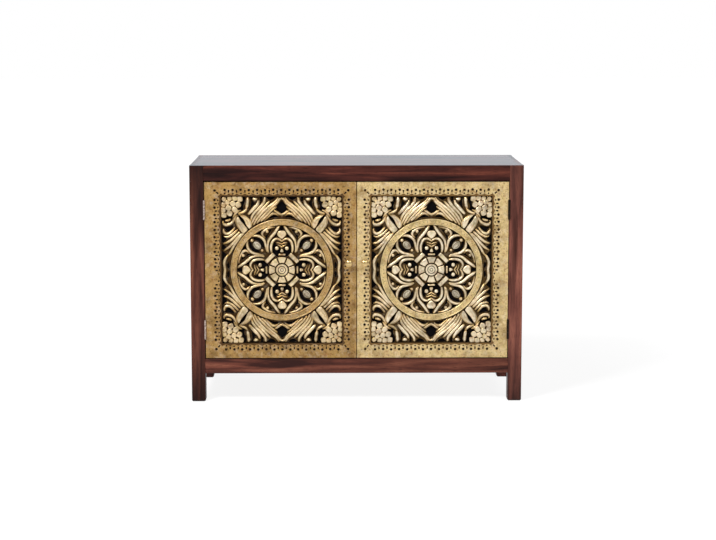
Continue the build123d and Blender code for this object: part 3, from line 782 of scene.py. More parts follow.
def rectangle(half_u, half_v):
    """The corners of an upright rectangle about the middle."""
    return [(-half_u, -half_v), (half_u, -half_v), (half_u, half_v), (-half_u, half_v)]


REBATE, SAWN_EDGE = 8.0, 0.4
board_outline = rectangle(HALF_WIDTH + REBATE, HALF_HEIGHT + REBATE)
sawn_board = fretwork("sawn_board", board_outline, openings, PLATE_THICK, SAWN_EDGE, -PLATE_THICK)
print("sawn board faces:", len(sawn_board.data.polygons))


# %% [markdown]
# ### Ribs
# A rib is a curve with a round bevel. Each of its points has its own half-width, so that the rib
# swells and tapers as a carved leaf does, and the mesh is then flattened towards the board. One
# curve holds all ribs of a group. The knots are u, v and half-width in millimetres.

# %% Ribs from curves
TIP_REACH, TIP_PART = 0.9, 0.12
CURVE_STEPS = 5


def tip(near, inner):
    """A knot that closes a stroke: thin, or as thick as before where a line of symmetry cuts it."""
    u, v, half = near
    away_u, away_v = u - inner[0], v - inner[1]
    length = math.hypot(away_u, away_v)
    reach, part = (1.0, 1.0) if 0 in (u, v) else (TIP_REACH * half, TIP_PART)
    return (u + away_u / length * reach, v + away_v / length * reach, half * part)


def ribs(name, strokes, flatness, roundness=3):
    """Rounded ribs that swell and taper, as one mesh; flatness is height over half-width."""
    drawing = bpy.data.curves.new(name, "CURVE")
    drawing.dimensions = "3D"
    drawing.bevel_depth = MM
    drawing.bevel_resolution = roundness
    drawing.resolution_u = CURVE_STEPS
    drawing.use_fill_caps = True
    for stroke in strokes:
        stroke = [tip(stroke[0], stroke[1]), *stroke, tip(stroke[-1], stroke[-2])]
        spline = drawing.splines.new("BEZIER")
        spline.bezier_points.add(len(stroke) - 1)
        for knot, (u, v, half) in zip(spline.bezier_points, stroke):
            knot.co = (u * MM, 0, v * MM)
            knot.handle_left_type = knot.handle_right_type = "AUTO"
            knot.radius = half
    made = curve_made_mesh(name, drawing)
    made.scale.y = flatness
    bpy.ops.object.transform_apply(location=True, rotation=True, scale=True)
    return made


print("a rib of 5 mm half-width ends", TIP_REACH * 5, "mm beyond its last knot")

# %% [markdown]
# ### Islands
# Petals, buds and scales are low islands with rounded rims. As a carver lowers the ground round a
# drawn shape and then rounds its edge, an island starts as a flat outline that is pulled up, and
# each inset after that goes a little inwards and a little higher. It starts 1 mm below the board's
# face, so that no gap shows under it.

# %% Islands from outlines
SUNK = 1.0


def softened(points):
    """The closed outline with each corner cut at a quarter of its sides."""
    cut = []
    for (u, v), (next_u, next_v) in zip(points, points[1:] + points[:1]):
        cut.append((u * 0.75 + next_u * 0.25, v * 0.75 + next_v * 0.25))
        cut.append((u * 0.25 + next_u * 0.75, v * 0.25 + next_v * 0.75))
    return cut


def flat_face(name, outline, y_mm):
    """One upright face with this outline, selected in edit mode."""
    select_only()
    bpy.ops.mesh.primitive_circle_add(vertices=len(outline), fill_type="NGON")
    made = bpy.context.object
    made.name = name
    for vertex, (u, v) in zip(made.data.vertices, outline):
        vertex.co = (u * MM, y_mm * MM, v * MM)
    made.data.update()
    bpy.ops.object.mode_set(mode="EDIT")
    bpy.ops.mesh.select_all(action="SELECT")
    return made


def pull(y_mm):
    """Extrudes the selected face along Y."""
    bpy.ops.mesh.extrude_region_move(TRANSFORM_OT_translate={"value": (0, y_mm * MM, 0)})


def faces_outwards():
    """Points all faces of the mesh at hand outwards and leaves edit mode."""
    bpy.ops.mesh.select_all(action="SELECT")
    bpy.ops.mesh.normals_make_consistent(inside=False)
    bpy.ops.object.mode_set(mode="OBJECT")


def island(name, outline, profile):
    """A carved island: the outline rises by the steps of its profile, each an inset and a rise."""
    made = flat_face(name, ran_forward(outline), SUNK)
    pull(-profile[0][1] - SUNK)
    for inward, rise in profile[1:]:
        bpy.ops.mesh.inset(thickness=inward * MM, depth=0)
        bpy.ops.transform.translate(value=(0, -rise * MM, 0))
    faces_outwards()
    return made


print("a square softened once has", len(softened(rectangle(1, 1))), "corners")

# %% [markdown]
# ### Copies
# What repeats is modelled once. A copy gets a mesh of its own and is moved inside that mesh, so
# that every object stays at the origin. Copies that carry the same finish are joined to one
# piece, as they are one piece of wood on the door.

# %% Join and copy
def joined(name, parts):
    """Several meshes as one object."""
    select_only(*parts)
    if len(parts) > 1:
        bpy.ops.object.join()
    parts[0].name = name
    return parts[0]


def copied(original, matrix):
    """A copy with its own mesh, moved inside the mesh."""
    made = original.copy()
    made.data = original.data.copy()
    made.data.transform(matrix)
    bpy.context.collection.objects.link(made)
    return made


def turn_by(degrees):
    """A turn about the axis that stands on the panel."""
    return Matrix.Rotation(math.radians(degrees), 4, "Y")


def move_by(u, v):
    """A move along the panel, in mm."""
    return Matrix.Translation((u * MM, 0, v * MM))


print("a move of 10 mm in metres:", round(move_by(10, 0).translation.x, 3))

# %% [markdown]
# ### Round the ring and over the middle
# The pattern repeats by turns about the ring's middle and by mirrors over its two axes. The
# mirror modifier does the second without a gap. Mirrored faces look inwards, so their
# normals are calculated again.

# %% Spin and mirror
def spun(made, count):
    """The piece as often as this round the middle of the ring, joined."""
    copies = [copied(made, turn_by(360 / count * step)) for step in range(1, count)]
    return joined(made.name, [made] + copies)


def mirrored_over(made, *axes):
    """Mirrors the mesh over planes through the middle."""
    select_only(made)
    mirror = made.modifiers.new("mirror", "MIRROR")
    mirror.use_axis = tuple(letter in axes for letter in GRAIN_AXES)
    mirror.use_mirror_merge = False
    bpy.ops.object.modifier_apply(modifier="mirror")
    bpy.ops.object.mode_set(mode="EDIT")
    faces_outwards()
    return made


def circle(radius, count, centre=(0, 0)):
    """Points round a circle."""
    angles = (2 * math.pi * step / count for step in range(count))
    return [(centre[0] + radius * math.cos(a), centre[1] + radius * math.sin(a)) for a in angles]


print("a circle of 4 points:", [tuple(round(c) for c in point) for point in circle(1, 4)])


# %% [markdown]
# ### The ring
# A flat band 20 mm wide runs round the middle between two raised rims, with a small punched dot
# every 13 mm. Turned on a lathe it would be a revolve, but the dots go right through to the dark
# ground, and holes are what flat curves do best. So band and rims are fretwork too.

# %% Ring
RING_INNER, RING_OUTER = 146.5, 167.0
BAND_THICK, BAND_EASE = 5.0, 0.9
RIM_THICK, RIM_EASE, RIM_HALF, RIM_INSET = 6.2, 1.2, 1.9, 0.6
DOT_PITCH, DOT_RADIUS = 13.0, 1.0
RING_STEPS = 96

ring_middle = (RING_INNER + RING_OUTER) / 2
dots = round(2 * math.pi * ring_middle / DOT_PITCH)
ring_holes = [circle(RING_INNER, RING_STEPS)]
ring_holes += [circle(DOT_RADIUS, 6, place) for place in circle(ring_middle, dots)]
band = fretwork("band", circle(RING_OUTER, RING_STEPS), ring_holes, BAND_THICK, BAND_EASE, 0.0)
rims = [
    fretwork("rim", circle(radius + RIM_HALF, RING_STEPS),
             [circle(radius - RIM_HALF, RING_STEPS)], RIM_THICK, RIM_EASE, 0.0)
    for radius in (RING_INNER + RIM_HALF + RIM_INSET, RING_OUTER - RIM_HALF - RIM_INSET)
]
ring = joined("ring", [band] + rims)
print("ring dots:", dots)

# %% [markdown]
# ### Rosette
# Eight petals stand round a turned button. The petal is an island whose edge is rounded by three
# insets, made once and copied. The button's rings are insets too: each step goes inwards and then
# up or down.

# %% Rosette
ROUNDED = [(0, 3.2), (0.6, 1.2), (1.2, 0.9), (2.0, 0.5)]
PETALS, PETAL_INNER, PETAL_OUTER, PETAL_HALF_ANGLE, PETAL_STEPS = 8, 22.5, 42.5, 20.0, 5
BUTTON_RADIUS = 19.5
BUTTON = [(0, 4.2), (0.8, 1.2), (5.4, 0.4), (0.6, -2.4), (1.2, 0), (0.6, 2.4), (5.2, 0.5),
          (0.5, -1.8), (0.9, 0), (0.4, 1.8)]


def petal_outline():
    """A wedge between two radii, upright."""
    angles = [math.radians(90 + PETAL_HALF_ANGLE * (2 * step / PETAL_STEPS - 1))
              for step in range(PETAL_STEPS + 1)]
    far = [(PETAL_OUTER * math.cos(a), PETAL_OUTER * math.sin(a)) for a in angles]
    near = [(PETAL_INNER * math.cos(a), PETAL_INNER * math.sin(a)) for a in angles]
    return far + near[::-1]


petals = spun(island("petals", petal_outline(), ROUNDED), PETALS)
button = island("button", circle(BUTTON_RADIUS, 32), BUTTON)
rosette = joined("rosette", [petals, button])
print("rosette faces:", len(rosette.data.polygons))

# %% [markdown]
# ### Ogee arches inside the ring
# Four ogee arches cross a four-leaved star of pointed loops. They are the main lines of the
# pattern and stand out as rounded ribs. One arch is drawn as its right half only.

# %% Lattice ribs, right half of the upper arch and of the loops beside it
OGEE = [(8, 144, 3), (12, 138, 4.6), (17, 130, 5.4), (26, 117.5, 5.5), (36, 106, 5.4), (42, 97, 5),
        (45, 86, 4.6), (46, 72, 4.3), (44, 58, 3.6)]
LOOP = [(47.5, 61, 3.6), (51.5, 79, 4.6), (56, 95, 5), (65.5, 106, 5), (80, 112, 4.8), (97, 111, 3)]
ARCH = [(0, 94, 3), (8, 100, 3.8), (17, 102, 4.2), (27, 97, 4.8), (33.5, 85, 5.2), (35, 68, 4.8),
        (33, 57, 3)]
CHEVRON = [(0, 84, 2.6), (8, 88, 2.8), (15.5, 89, 2.2)]
LOWER_CHEVRON = [(0, 75, 2.8), (7, 79.5, 2.8), (13, 82, 2.2)]
LEAF_RIM = [(23, 140.5, 2.4), (40, 137.5, 4), (54, 130.5, 4.8), (63, 121, 4.8), (61, 111, 3.8),
            (54, 105, 2.2)]
big_ribs = ribs("big_ribs", [OGEE, LOOP, LEAF_RIM], 1.2)
small_ribs = ribs("small_ribs", [ARCH, CHEVRON, LOWER_CHEVRON], 1.3)
print("rib faces:", len(big_ribs.data.polygons) + len(small_ribs.data.polygons))

# %% [markdown]
# ### Buds and pearls
# Under each arch hangs a fat bud with a small nose below it, and a yoke ties the ribs together.
# Pearls fill the curls. A pearl is a half-ball cut with a hollow gouge: an island whose three
# insets follow a round profile, scaled to its radius.

# %% Islands between the ribs
BUD = [(-9, 128.5), (9, 128.5), (14.5, 123), (15.5, 117), (10, 108), (0, 99), (-10, 108),
       (-15.5, 117), (-14.5, 123)]
NOSE = [(-6, 58), (6, 58), (4.5, 65), (0, 71), (-4.5, 65)]
YOKE = [(-11, 47.5), (11, 47.5), (12, 50), (10.5, 53), (-10.5, 53), (-12, 50)]
PEARL_FOOT, DRAWN_RADIUS = 2.4, 6.5
PEARL_STEPS = [(0.22, 1.3), (0.26, 0.9), (0.28, 0.4)]  # part of the radius, rise at 6.5 mm radius


def pearl(name, radius, centre, lift=0.0):
    """A small carved half-ball; the steps of its rise follow its radius."""
    steps = [(inward * radius, rise * radius / DRAWN_RADIUS) for inward, rise in PEARL_STEPS]
    return island(name, circle(radius, 12, centre), [(0, PEARL_FOOT + lift)] + steps)


bud = island("bud", softened(BUD), [(0, 3.0), (1.0, 1.4), (2.2, 1.0), (2.5, 0.5)])
nose = island("nose", softened(NOSE), [(0, 3.4), (0.8, 1.2), (1.4, 0.8)])
yoke = island("yoke", YOKE, [(0, 2.8), (0.8, 1.2), (1.2, 0.6)])
curl = pearl("curl", 6.3, (16, 71), 1.5)
leaf_pearl = pearl("leaf_pearl", 5, (47.5, 125.5), 0.5)
print("bud faces:", len(bud.data.polygons))

# %% [markdown]
# ### Striped seeds
# Between the arches, on the diagonals, lie four long seeds with three beads each, worn to a paler
# gold than the rest. They are drawn upright, where an outline is easy to write down, and are then
# turned by 45 degrees. They stay a piece of their own because of their finish.

# %% Seeds on the diagonals
SEED = [(0, 129), (6.5, 125), (10, 118), (10.5, 111), (8, 103), (0, 97), (-8, 103), (-10.5, 111),
        (-10, 118), (-6.5, 125)]
SEED_RISE = [(0, 3.0), (0.8, 1.0), (2.2, 0.2), (0.5, -0.9), (0.8, 0), (0.5, 0.9)]
SEED_BEADS = ((2.4, 121.5), (3.0, 113), (2.4, 104.5))  # radius and place
BAR = [(-19, 48.5), (19, 48.5), (19, 61.5), (-19, 61.5)]


def on_diagonal(made):
    """The upright piece turned onto the first diagonal."""
    made.data.transform(turn_by(45))
    return made


seed = on_diagonal(island("seed", softened(SEED), SEED_RISE))
seed_beads = [on_diagonal(pearl("seed_bead", radius, (0, place), 1.8))
              for radius, place in SEED_BEADS]
seeds = spun(joined("seeds", [seed] + seed_beads), 4)
bar = on_diagonal(island("bar", BAR, ROUNDED))
far_pearl = on_diagonal(pearl("far_pearl", 5.5, (0, 136.5)))
near_pearl = on_diagonal(pearl("near_pearl", 4.5, (0, 90)))
print("seed faces:", len(seeds.data.polygons))

# %% [markdown]
# ### The lattice put together
# What lies right of the arch's axis is mirrored to its left. What the axis cuts is whole already
# and comes in after that. Four quarter turns then close the pattern round the ring.

# %% Lattice
half_motif = mirrored_over(joined("half_motif", [small_ribs, big_ribs, curl, leaf_pearl]), "x")
motif = joined("lattice", [half_motif, bud, nose, yoke, bar, far_pearl, near_pearl])
lattice = spun(motif, 4)
print("lattice faces:", len(lattice.data.polygons))

# %% [markdown]
# ### Acanthus leaves in the corners
# Long leaf fingers grow out of the ring on both sides of each corner and end in round tips at the
# frame. Each finger is a rib that starts thin, swells and rolls over. One quarter is drawn and
# mirrored both ways, although on hand-carved work the four corners never match quite so well.

# %% Leaf fingers of the upper right quarter
TOP_LEAF = [
    [(0, 180, 4.2), (9, 184, 4.6), (18, 190.5, 4.4), (25, 193, 2.6)],
    [(10, 177, 2), (19, 183, 3.8), (29, 184, 5), (40, 176.5, 4), (49, 168, 3), (56, 160.5, 2)],
    [(17, 206, 2.6), (25, 200, 4.4), (35, 192, 4.8), (46, 180, 4.8), (57, 169, 4.6), (67, 160, 4)],
    [(0, 234, 4), (7, 231, 5), (13, 222, 5), (24, 211, 5.2), (37, 200, 5.2), (49, 189, 5.2),
     (61, 176, 5), (72, 164, 4.6), (80, 153, 3.6)],
    [(10, 238, 3), (17, 226, 4.4), (31, 214, 5.4), (46, 203, 5.6), (60, 191, 5.6), (72, 178, 5.4),
     (82, 164, 5), (91, 147, 3.6)],
    [(40, 223, 3), (47, 216, 5), (58, 204, 5.8), (71, 191, 5.8), (83, 177, 5.4), (92, 162, 4.8),
     (97, 150, 3)],
    [(54, 236, 4), (56, 224, 5.4), (63, 213, 6), (73, 202, 6), (86, 189, 6), (96, 174, 5),
     (100, 160, 3)],
    [(80, 231, 4.6), (86, 231, 6.6), (91, 232, 5)],
    [(74, 226, 4), (77, 215, 6), (86, 205, 7), (97, 193, 6.6), (107, 183, 4.6)],
    [(110, 238, 3.6), (109.5, 229, 6.4), (110.5, 219, 5.6), (112, 210, 6.2), (114, 203, 4.4)],
    [(112, 201, 2.6), (118, 193, 4.4), (128, 187, 4.6), (140, 184, 3)],
    [(132, 195, 2), (142, 191, 4.6), (150, 184, 4.8), (157, 172, 2.4)],
]
DIAGONAL_PAIR = [
    [(139, 181, 2), (123, 176, 4), (108, 165, 4.4), (99, 152, 4.2), (99.5, 141, 3.4),
     (104, 134, 2)],
    [(144, 179, 2), (148, 165, 4), (144, 149, 4.2), (135, 134, 4.2), (126, 122, 3.4)],
]
BLADES = [
    [(138, 179.5), (122, 176), (108, 166), (99, 153), (99, 142), (104, 134), (110, 139),
     (115, 147), (122, 166)],
    [(142, 178), (148, 166), (145, 149), (136, 133), (126, 119), (116, 124), (109, 133),
     (119, 145), (132, 159)],
]
VEINS = [
    [(130, 173, 1.1), (117, 165, 1.9), (109, 154, 1.9), (106, 141, 1.3)],
    [(141, 169, 1.1), (138, 152, 1.9), (130, 138, 1.9), (119, 127, 1.3)],
    [(134, 157, 0.9), (126, 146, 1.6), (116, 136, 1.1)],
]
SIDE_LEAF = [
    [(147, 181, 2.6), (152, 168, 4.2), (160, 156, 4.8), (172, 149, 5.6), (184, 148.5, 5.6),
     (190, 154, 4), (189, 160, 2.4)],
    [(166, 165, 3), (174, 162, 4.6), (182, 161, 3)],
    [(152, 139, 2.6), (161, 127, 4.6), (172, 119, 5.4), (183, 120, 5), (189, 128, 4.2),
     (188, 134, 2.4)],
    [(143, 133, 3), (153, 122, 5), (166, 112, 5), (178, 108, 4), (187, 110, 2)],
    [(136, 124, 4), (151, 110, 5.6), (164, 98, 5.6), (176, 90, 4.6), (189, 86, 2.4)],
    [(130, 118, 4), (145, 103, 5.6), (158, 88, 5.6), (171, 75, 5), (187, 64, 2.4)],
    [(122, 122, 4), (134, 108, 5.4), (147, 91, 5.6), (158, 74, 5.4), (167, 58, 4.6),
     (175, 46, 2.4)],
    [(173, 50, 2.4), (181, 40, 4.6), (187, 26, 6), (186, 11, 5.6), (184.5, 0, 5)],
]
corner_ribs = ribs("corner_ribs", TOP_LEAF + DIAGONAL_PAIR + SIDE_LEAF, 1.05, 2)
veins = ribs("veins", VEINS, 3.6, 2)
BLADE_RISE = [(0, 4.0), (0.7, 1.1), (0.8, 0.6)]
blades = [island("blade", softened(outline), BLADE_RISE) for outline in BLADES]
print("leaf faces:", len(corner_ribs.data.polygons))

# %% [markdown]
# ### Fir cone
# A quarter of a fir cone fills each corner: rows of scales round the corner point, small ones
# inside and larger ones outside, like tiles on a round roof. One scale is modelled, and copies
# are sized, turned to face away from the corner and put in their rows.

# %% Fir cone in the corner
CONE_ROWS = [  # distance from the corner, size of the scales and their angles
    (62, 1.1, (8, 26.5, 45, 63.5, 82)),
    (45.5, 1.08, (8, 32.5, 57.5, 82)),
    (29.5, 0.95, (15, 45, 75)),
    (14, 0.9, (45,)),
]
SCALE = [(-7.5, -8.4), (7.5, -8.4), (9.4, -1), (8.6, 6.6), (0, 8.8), (-8.6, 6.6), (-9.4, -1)]
SCALE_RISE = [(0, 2.6), (0.6, 1.2), (1.5, 0.8), (1.6, 0.3)]
cone_scale = island("cone_scale", softened(SCALE), SCALE_RISE)
cone = []
for radius, size, angles in CONE_ROWS:
    for angle in angles:
        swing = math.radians(angle)
        inwards, downwards = radius * math.cos(swing), radius * math.sin(swing)
        there = move_by(HALF_WIDTH - inwards, HALF_HEIGHT - downwards)
        cone.append(copied(cone_scale, there @ turn_by(angle + 90) @ Matrix.Scale(size, 4)))
bpy.data.objects.remove(cone_scale)
corner_pieces = joined("corner_leaves", [corner_ribs, veins] + blades + cone)
corner = mirrored_over(corner_pieces, "x", "z")
print("cone scales:", len(cone), "and corner faces:", len(corner.data.polygons))


# %% [markdown]
# ## Hanging the carving in the doors
# The bench pieces are copied to both doors. Each copy rides on its door, so that it swings with
# it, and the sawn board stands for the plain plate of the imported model. Shading is smooth except
# over edges steeper than 48 degrees, which a carver's tool leaves crisp.

# %% Hang the carving in both doors
CRISP_EDGE = 48


def hang(made, side, finish, *replaced):
    """Puts a bench piece into a door, riding on the door's body, and hides the nodes it stands for.
    """
    there = (SIGN[side] * PANEL_CENTRE.x, PLATE_FACE, PANEL_CENTRE.z)
    piece = copied(made, Matrix.Translation(there))
    piece.name = f"door_{side}_{made.name}"
    select_only(piece)
    bpy.ops.object.shade_smooth_by_angle(angle=math.radians(CRISP_EDGE))
    piece.data.materials.clear()
    piece.data.materials.append(finish)
    if replaced:
        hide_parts(*replaced)
    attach(piece, f"door_{side}")
    return piece


for side in SIGN:
    hung = [
        hang(sawn_board, side, carved_gold[side], f"door_{side}_fret"),
        hang(ring, side, ring_gold[side]),
        hang(seeds, side, seed_gold),
    ]
    hung += [hang(made, side, carved_gold[side]) for made in (rosette, lattice, corner)]
    print("in the", side, "door:", [piece.name for piece in hung])
for made in (sawn_board, ring, seeds, rosette, lattice, corner):
    bpy.data.objects.remove(made)


# %% [markdown]
# ## The punched border
# Round each panel the maker struck the frame with steel punches before gilding: a large round one
# every 26 mm across and 24 mm up, a chisel mark between two of them, and a small dot towards the
# opening. The marks are real hollows here, because the patina follows depth. A punch is a face
# that is pulled out and narrowed towards its tip.

# %% Punches
ABOVE_FACE = 0.4  # a punch starts this far in front of the wood, so that it cuts cleanly
PUNCH_TAPER = 0.8


def punch(name, outline, depth_mm):
    """A punch whose face is an outline in mm; it narrows towards its tip."""
    made = flat_face(name, outline, -ABOVE_FACE)
    pull(depth_mm + ABOVE_FACE)
    bpy.ops.transform.resize(value=(PUNCH_TAPER, 1, PUNCH_TAPER))
    faces_outwards()
    return made


CHISEL_FACE = [(-1.9, -5.2), (1.9, -5.2), (3.1, 3.4), (0, 5.2), (-3.1, 3.4)]
round_punch = punch("round_punch", circle(4.8, 10), 3.0)
small_punch = punch("small_punch", circle(3.1, 8), 2.2)
chisel = punch("chisel", CHISEL_FACE, 2.2)
print("punches:", [tool.name for tool in (round_punch, small_punch, chisel)])

# %% [markdown]
# ### Rows of marks
# The marks stand in rows along the opening. No hand is quite even, so each mark strays a little
# and turns a little, by a seeded random number that is the same in every run. No mark is
# struck where the knob stands. Tools that overlap would upset the cut, so the rows keep apart.

# %% Rows of marks along the opening
OUTER_ROW, CHISEL_ROW, INNER_ROW = 20.5, 15.8, 9.0
TONGUES_ACROSS, TONGUES_UP = 15, 20
KNOB_RADIUS, KNOB_ROOM = 11.5, 3
STRAY_MM, STRAY_DEGREES = 0.7, 7
hand = random.Random(11)


def middle_mm(name):
    """The middle of a CAD node's box, in mm."""
    low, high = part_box(name)
    return (low + high) / 2 / MM


def struck(tool, u, v, degrees):
    """One mark at its place on the frame, a little off."""
    off_u, off_v = hand.uniform(-STRAY_MM, STRAY_MM), hand.uniform(-STRAY_MM, STRAY_MM)
    swing = hand.uniform(-STRAY_DEGREES, STRAY_DEGREES)
    return copied(tool, move_by(u + off_u, v + off_v) @ turn_by(degrees + swing))


knob = middle_mm("door_left_knob")
knob_place = (knob.x + PANEL_CENTRE.x / MM, knob.z - PANEL_CENTRE.z / MM)


def mark_row(length, tongues, distance, sideways):
    """Marks along one side; distance is from the panel's middle to the edge of the opening."""
    marks = []
    pitch = length / tongues
    for step in range(tongues):
        middle = -length / 2 + pitch * (step + 0.5)
        places = [(round_punch, middle, OUTER_ROW), (small_punch, middle, INNER_ROW)]
        if step:
            places.append((chisel, middle - pitch / 2, CHISEL_ROW))
        for tool, where, out in places:
            u, v = (distance + out, where) if sideways else (where, distance + out)
            if math.dist((u, v), knob_place) > KNOB_RADIUS + KNOB_ROOM:
                marks.append(struck(tool, u, v, 90 if sideways else 0))
    return marks


print("pitch:", round(2 * HALF_WIDTH / TONGUES_ACROSS, 1), "mm across,",
      round(2 * HALF_HEIGHT / TONGUES_UP, 1), "mm up")

# %% [markdown]
# ### The scalloped lip
# Between the marks and the opening the wood steps down to a lip, and small tongues reach over it
# like the edge of a lace cloth. The lip is cut like the marks, by a flat board whose outline
# scallops in and out once for each tongue.

# %% Scalloped lip
TIP, CUSP = 4.0, 9.2  # how far the lip reaches outwards at a tongue's tip and between two
SCALLOP_STEPS, SCALLOP_POWER = 6, 2.4
LIP_THICK, LIP_LEVEL, LIP_CLEAR = 1.8, -1.2, 2


def scalloped_edge():
    """The outline between the sunk lip and the tongues, round the opening."""
    across = (HALF_WIDTH, TONGUES_ACROSS, HALF_HEIGHT)
    up = (HALF_HEIGHT, TONGUES_UP, HALF_WIDTH)
    outline = []
    for quarter, (half, tongues, distance) in enumerate((across, up) * 2):
        pitch = 2 * half / tongues
        side_points = []
        for step in range(tongues * SCALLOP_STEPS + 1):
            part = step / SCALLOP_STEPS
            off_middle = abs(part % 1 - 0.5) * 2
            out = distance + TIP + (CUSP - TIP) * off_middle ** SCALLOP_POWER
            side_points.append((-half + pitch * part, out))
        side_points.append((half + TIP, distance + TIP))
        outline += turned(side_points, -90 * quarter)
    return outline


opening = rectangle(HALF_WIDTH - LIP_CLEAR, HALF_HEIGHT - LIP_CLEAR)
lip = fretwork("lip", scalloped_edge(), [opening], LIP_THICK, 0.0, LIP_LEVEL)
print("lip faces:", len(lip.data.polygons))

# %% [markdown]
# ### All tools of one border
# One half holds the marks of the upper and of the right side. The half for the lower and left
# side is struck anew, so that its stray marks differ, and is then put on the other side of the
# middle by half a turn. A flip over one axis turns faces inside out, and so they are turned back.

# %% Tools for one border
CORNER_DOT, CORNER_CUT = 19.0, 10.4


def half_border():
    """The marks of the upper and of the right side with the corner between them."""
    marks = mark_row(2 * HALF_WIDTH, TONGUES_ACROSS, HALF_HEIGHT, False)
    marks += mark_row(2 * HALF_HEIGHT, TONGUES_UP, HALF_WIDTH, True)
    for sign in (1, -1):
        for tool, out, degrees in ((chisel, CORNER_CUT, 45 * sign), (round_punch, CORNER_DOT, 0)):
            marks.append(struck(tool, HALF_WIDTH + out, sign * (HALF_HEIGHT + out), degrees))
    return joined("half_border", marks)


def flipped_copy(made, axis):
    """A copy on the other side of the middle, with its faces outwards again."""
    scale = [-1 if letter == axis else 1 for letter in GRAIN_AXES]
    other = copied(made, Matrix.Diagonal((*scale, 1)))
    other.data.flip_normals()
    return other


half = half_border()
other_half = half_border()
for axis in "xz":
    turned_half = flipped_copy(other_half, axis)
    bpy.data.objects.remove(other_half)
    other_half = turned_half
punches = joined("punches", [half, other_half, lip])
print("punch faces:", len(punches.data.polygons))

# %% [markdown]
# ### Which wood is struck
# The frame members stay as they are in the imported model. Copies are struck and shown in their
# place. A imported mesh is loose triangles, so the corners of a copy are merged first, or the cut
# fails. Gold covers the front and the inner edges of a frame; the rest of it is stained wood.

# %% Copies of the frame members
FRAME_MEMBERS = ("stile_hinge", "stile_meeting", "rail_top", "rail_bottom")
FRONT_SKIN, PUNCHED_BAND = 6.0, 30.0


def merged_copy(name, new_name):
    """A copy of a CAD node's mesh with its doubled corners merged."""
    made = copied(NODES[name], NODES[name].matrix_world.copy())
    made.parent = None
    made.matrix_world = Matrix.Identity(4)
    made.name = new_name
    for key in list(made.keys()):
        del made[key]
    select_only(made)
    bpy.ops.object.mode_set(mode="EDIT")
    bpy.ops.mesh.select_all(action="SELECT")
    bpy.ops.mesh.remove_doubles(threshold=1e-6)
    bpy.ops.object.mode_set(mode="OBJECT")
    return made


def is_bare_wood(face, centre_x):
    """True on the back of a door's frame and on its outer edges, which carry no gold."""
    if face.normal.y > 0.9:
        return face.center.y > DOOR_FACE + FRONT_SKIN * MM
    out_u = abs(face.center.x - centre_x) / MM - HALF_WIDTH
    out_v = abs(face.center.z - PANEL_CENTRE.z) / MM - HALF_HEIGHT
    return abs(face.normal.y) < 0.1 and max(out_u, out_v) > PUNCHED_BAND


print("members of a door's frame:", len(FRAME_MEMBERS))

# %% [markdown]
# ### Striking the frames
# A boolean takes the tools away from each member, as the punches crushed the wood. The right door
# mirrors the left one. Each struck piece replaces its node and rides on its door.

# %% Strike the frames
def strike(side, member, tools):
    """The struck copy of one frame member, in gold and stained wood."""
    node = f"door_{side}_{member}"
    made = merged_copy(node, f"{node}_punched")
    cut = made.modifiers.new("marks", "BOOLEAN")
    cut.operation = "DIFFERENCE"
    cut.solver = "EXACT"
    cut.object = tools
    select_only(made)
    bpy.ops.object.modifier_apply(modifier="marks")
    made.data.materials.clear()
    made.data.materials.append(flat_gold[side])
    made.data.materials.append(stained[longest_axis(node)])
    for face in made.data.polygons:
        face.material_index = int(is_bare_wood(face, SIGN[side] * PANEL_CENTRE.x))
    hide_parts(node)
    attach(made, f"door_{side}")
    return made


for side in SIGN:
    tools = flipped_copy(punches, "x") if side == "right" else copied(punches, Matrix())
    there = (SIGN[side] * PANEL_CENTRE.x, DOOR_FACE, PANEL_CENTRE.z)
    tools.data.transform(Matrix.Translation(there))
    members = [strike(side, member, tools) for member in FRAME_MEMBERS]
    bpy.data.objects.remove(tools)
    print("struck:", {made.name: len(made.data.polygons) for made in members})
for tool in (punches, round_punch, small_punch, chisel):
    bpy.data.objects.remove(tool)

# %% [markdown]
# ## Screws
# The hinges, catches, strike plates and knobs are held by countersunk wood screws with a slot. A
# screw head is a disc with a bevelled rim and a slot across it. It is modelled once, facing -Y,
# with its face at the origin, and every screw is a copy that is turned to face its own way.

# %% One screw head
HEAD_RADIUS, HEAD_RISE, HEAD_SIDES = 3.2, 0.7, 24
RIM_PART, SLOT_HALF_PART = 0.16, 0.13  # of the radius
DOME_PART, SLOT_DEPTH_PART = 0.25, 0.6  # of the rise
METAL_EDGE = 35


def pick_faces(made, wanted):
    """Selects in edit mode just the faces that pass a test."""
    bpy.ops.object.mode_set(mode="EDIT")
    bpy.ops.mesh.select_mode(type="FACE")
    bpy.ops.mesh.select_all(action="DESELECT")
    bpy.ops.object.mode_set(mode="OBJECT")
    for face in made.data.polygons:
        face.select = wanted(face)
    bpy.ops.object.mode_set(mode="EDIT")


select_only()
bpy.ops.mesh.primitive_cylinder_add(
    vertices=HEAD_SIDES, radius=HEAD_RADIUS * MM, depth=2 * HEAD_RISE * MM,
    location=(0, 0, 0), rotation=(math.radians(90), 0, 0),
)
screw = bpy.context.object
screw.name = "screw"
bpy.ops.object.transform_apply(location=True, rotation=True, scale=True)
pick_faces(screw, lambda face: face.normal.y < -0.9)
bpy.ops.mesh.inset(thickness=RIM_PART * HEAD_RADIUS * MM, depth=0)
bpy.ops.transform.translate(value=(0, -DOME_PART * HEAD_RISE * MM, 0))
print("disc faces:", len(screw.data.polygons))

# %% [markdown]
# ### The slot
# A slot is milled across the head. Two bisects mark its sides on the disc, and the strip of faces
# between them is pushed in.

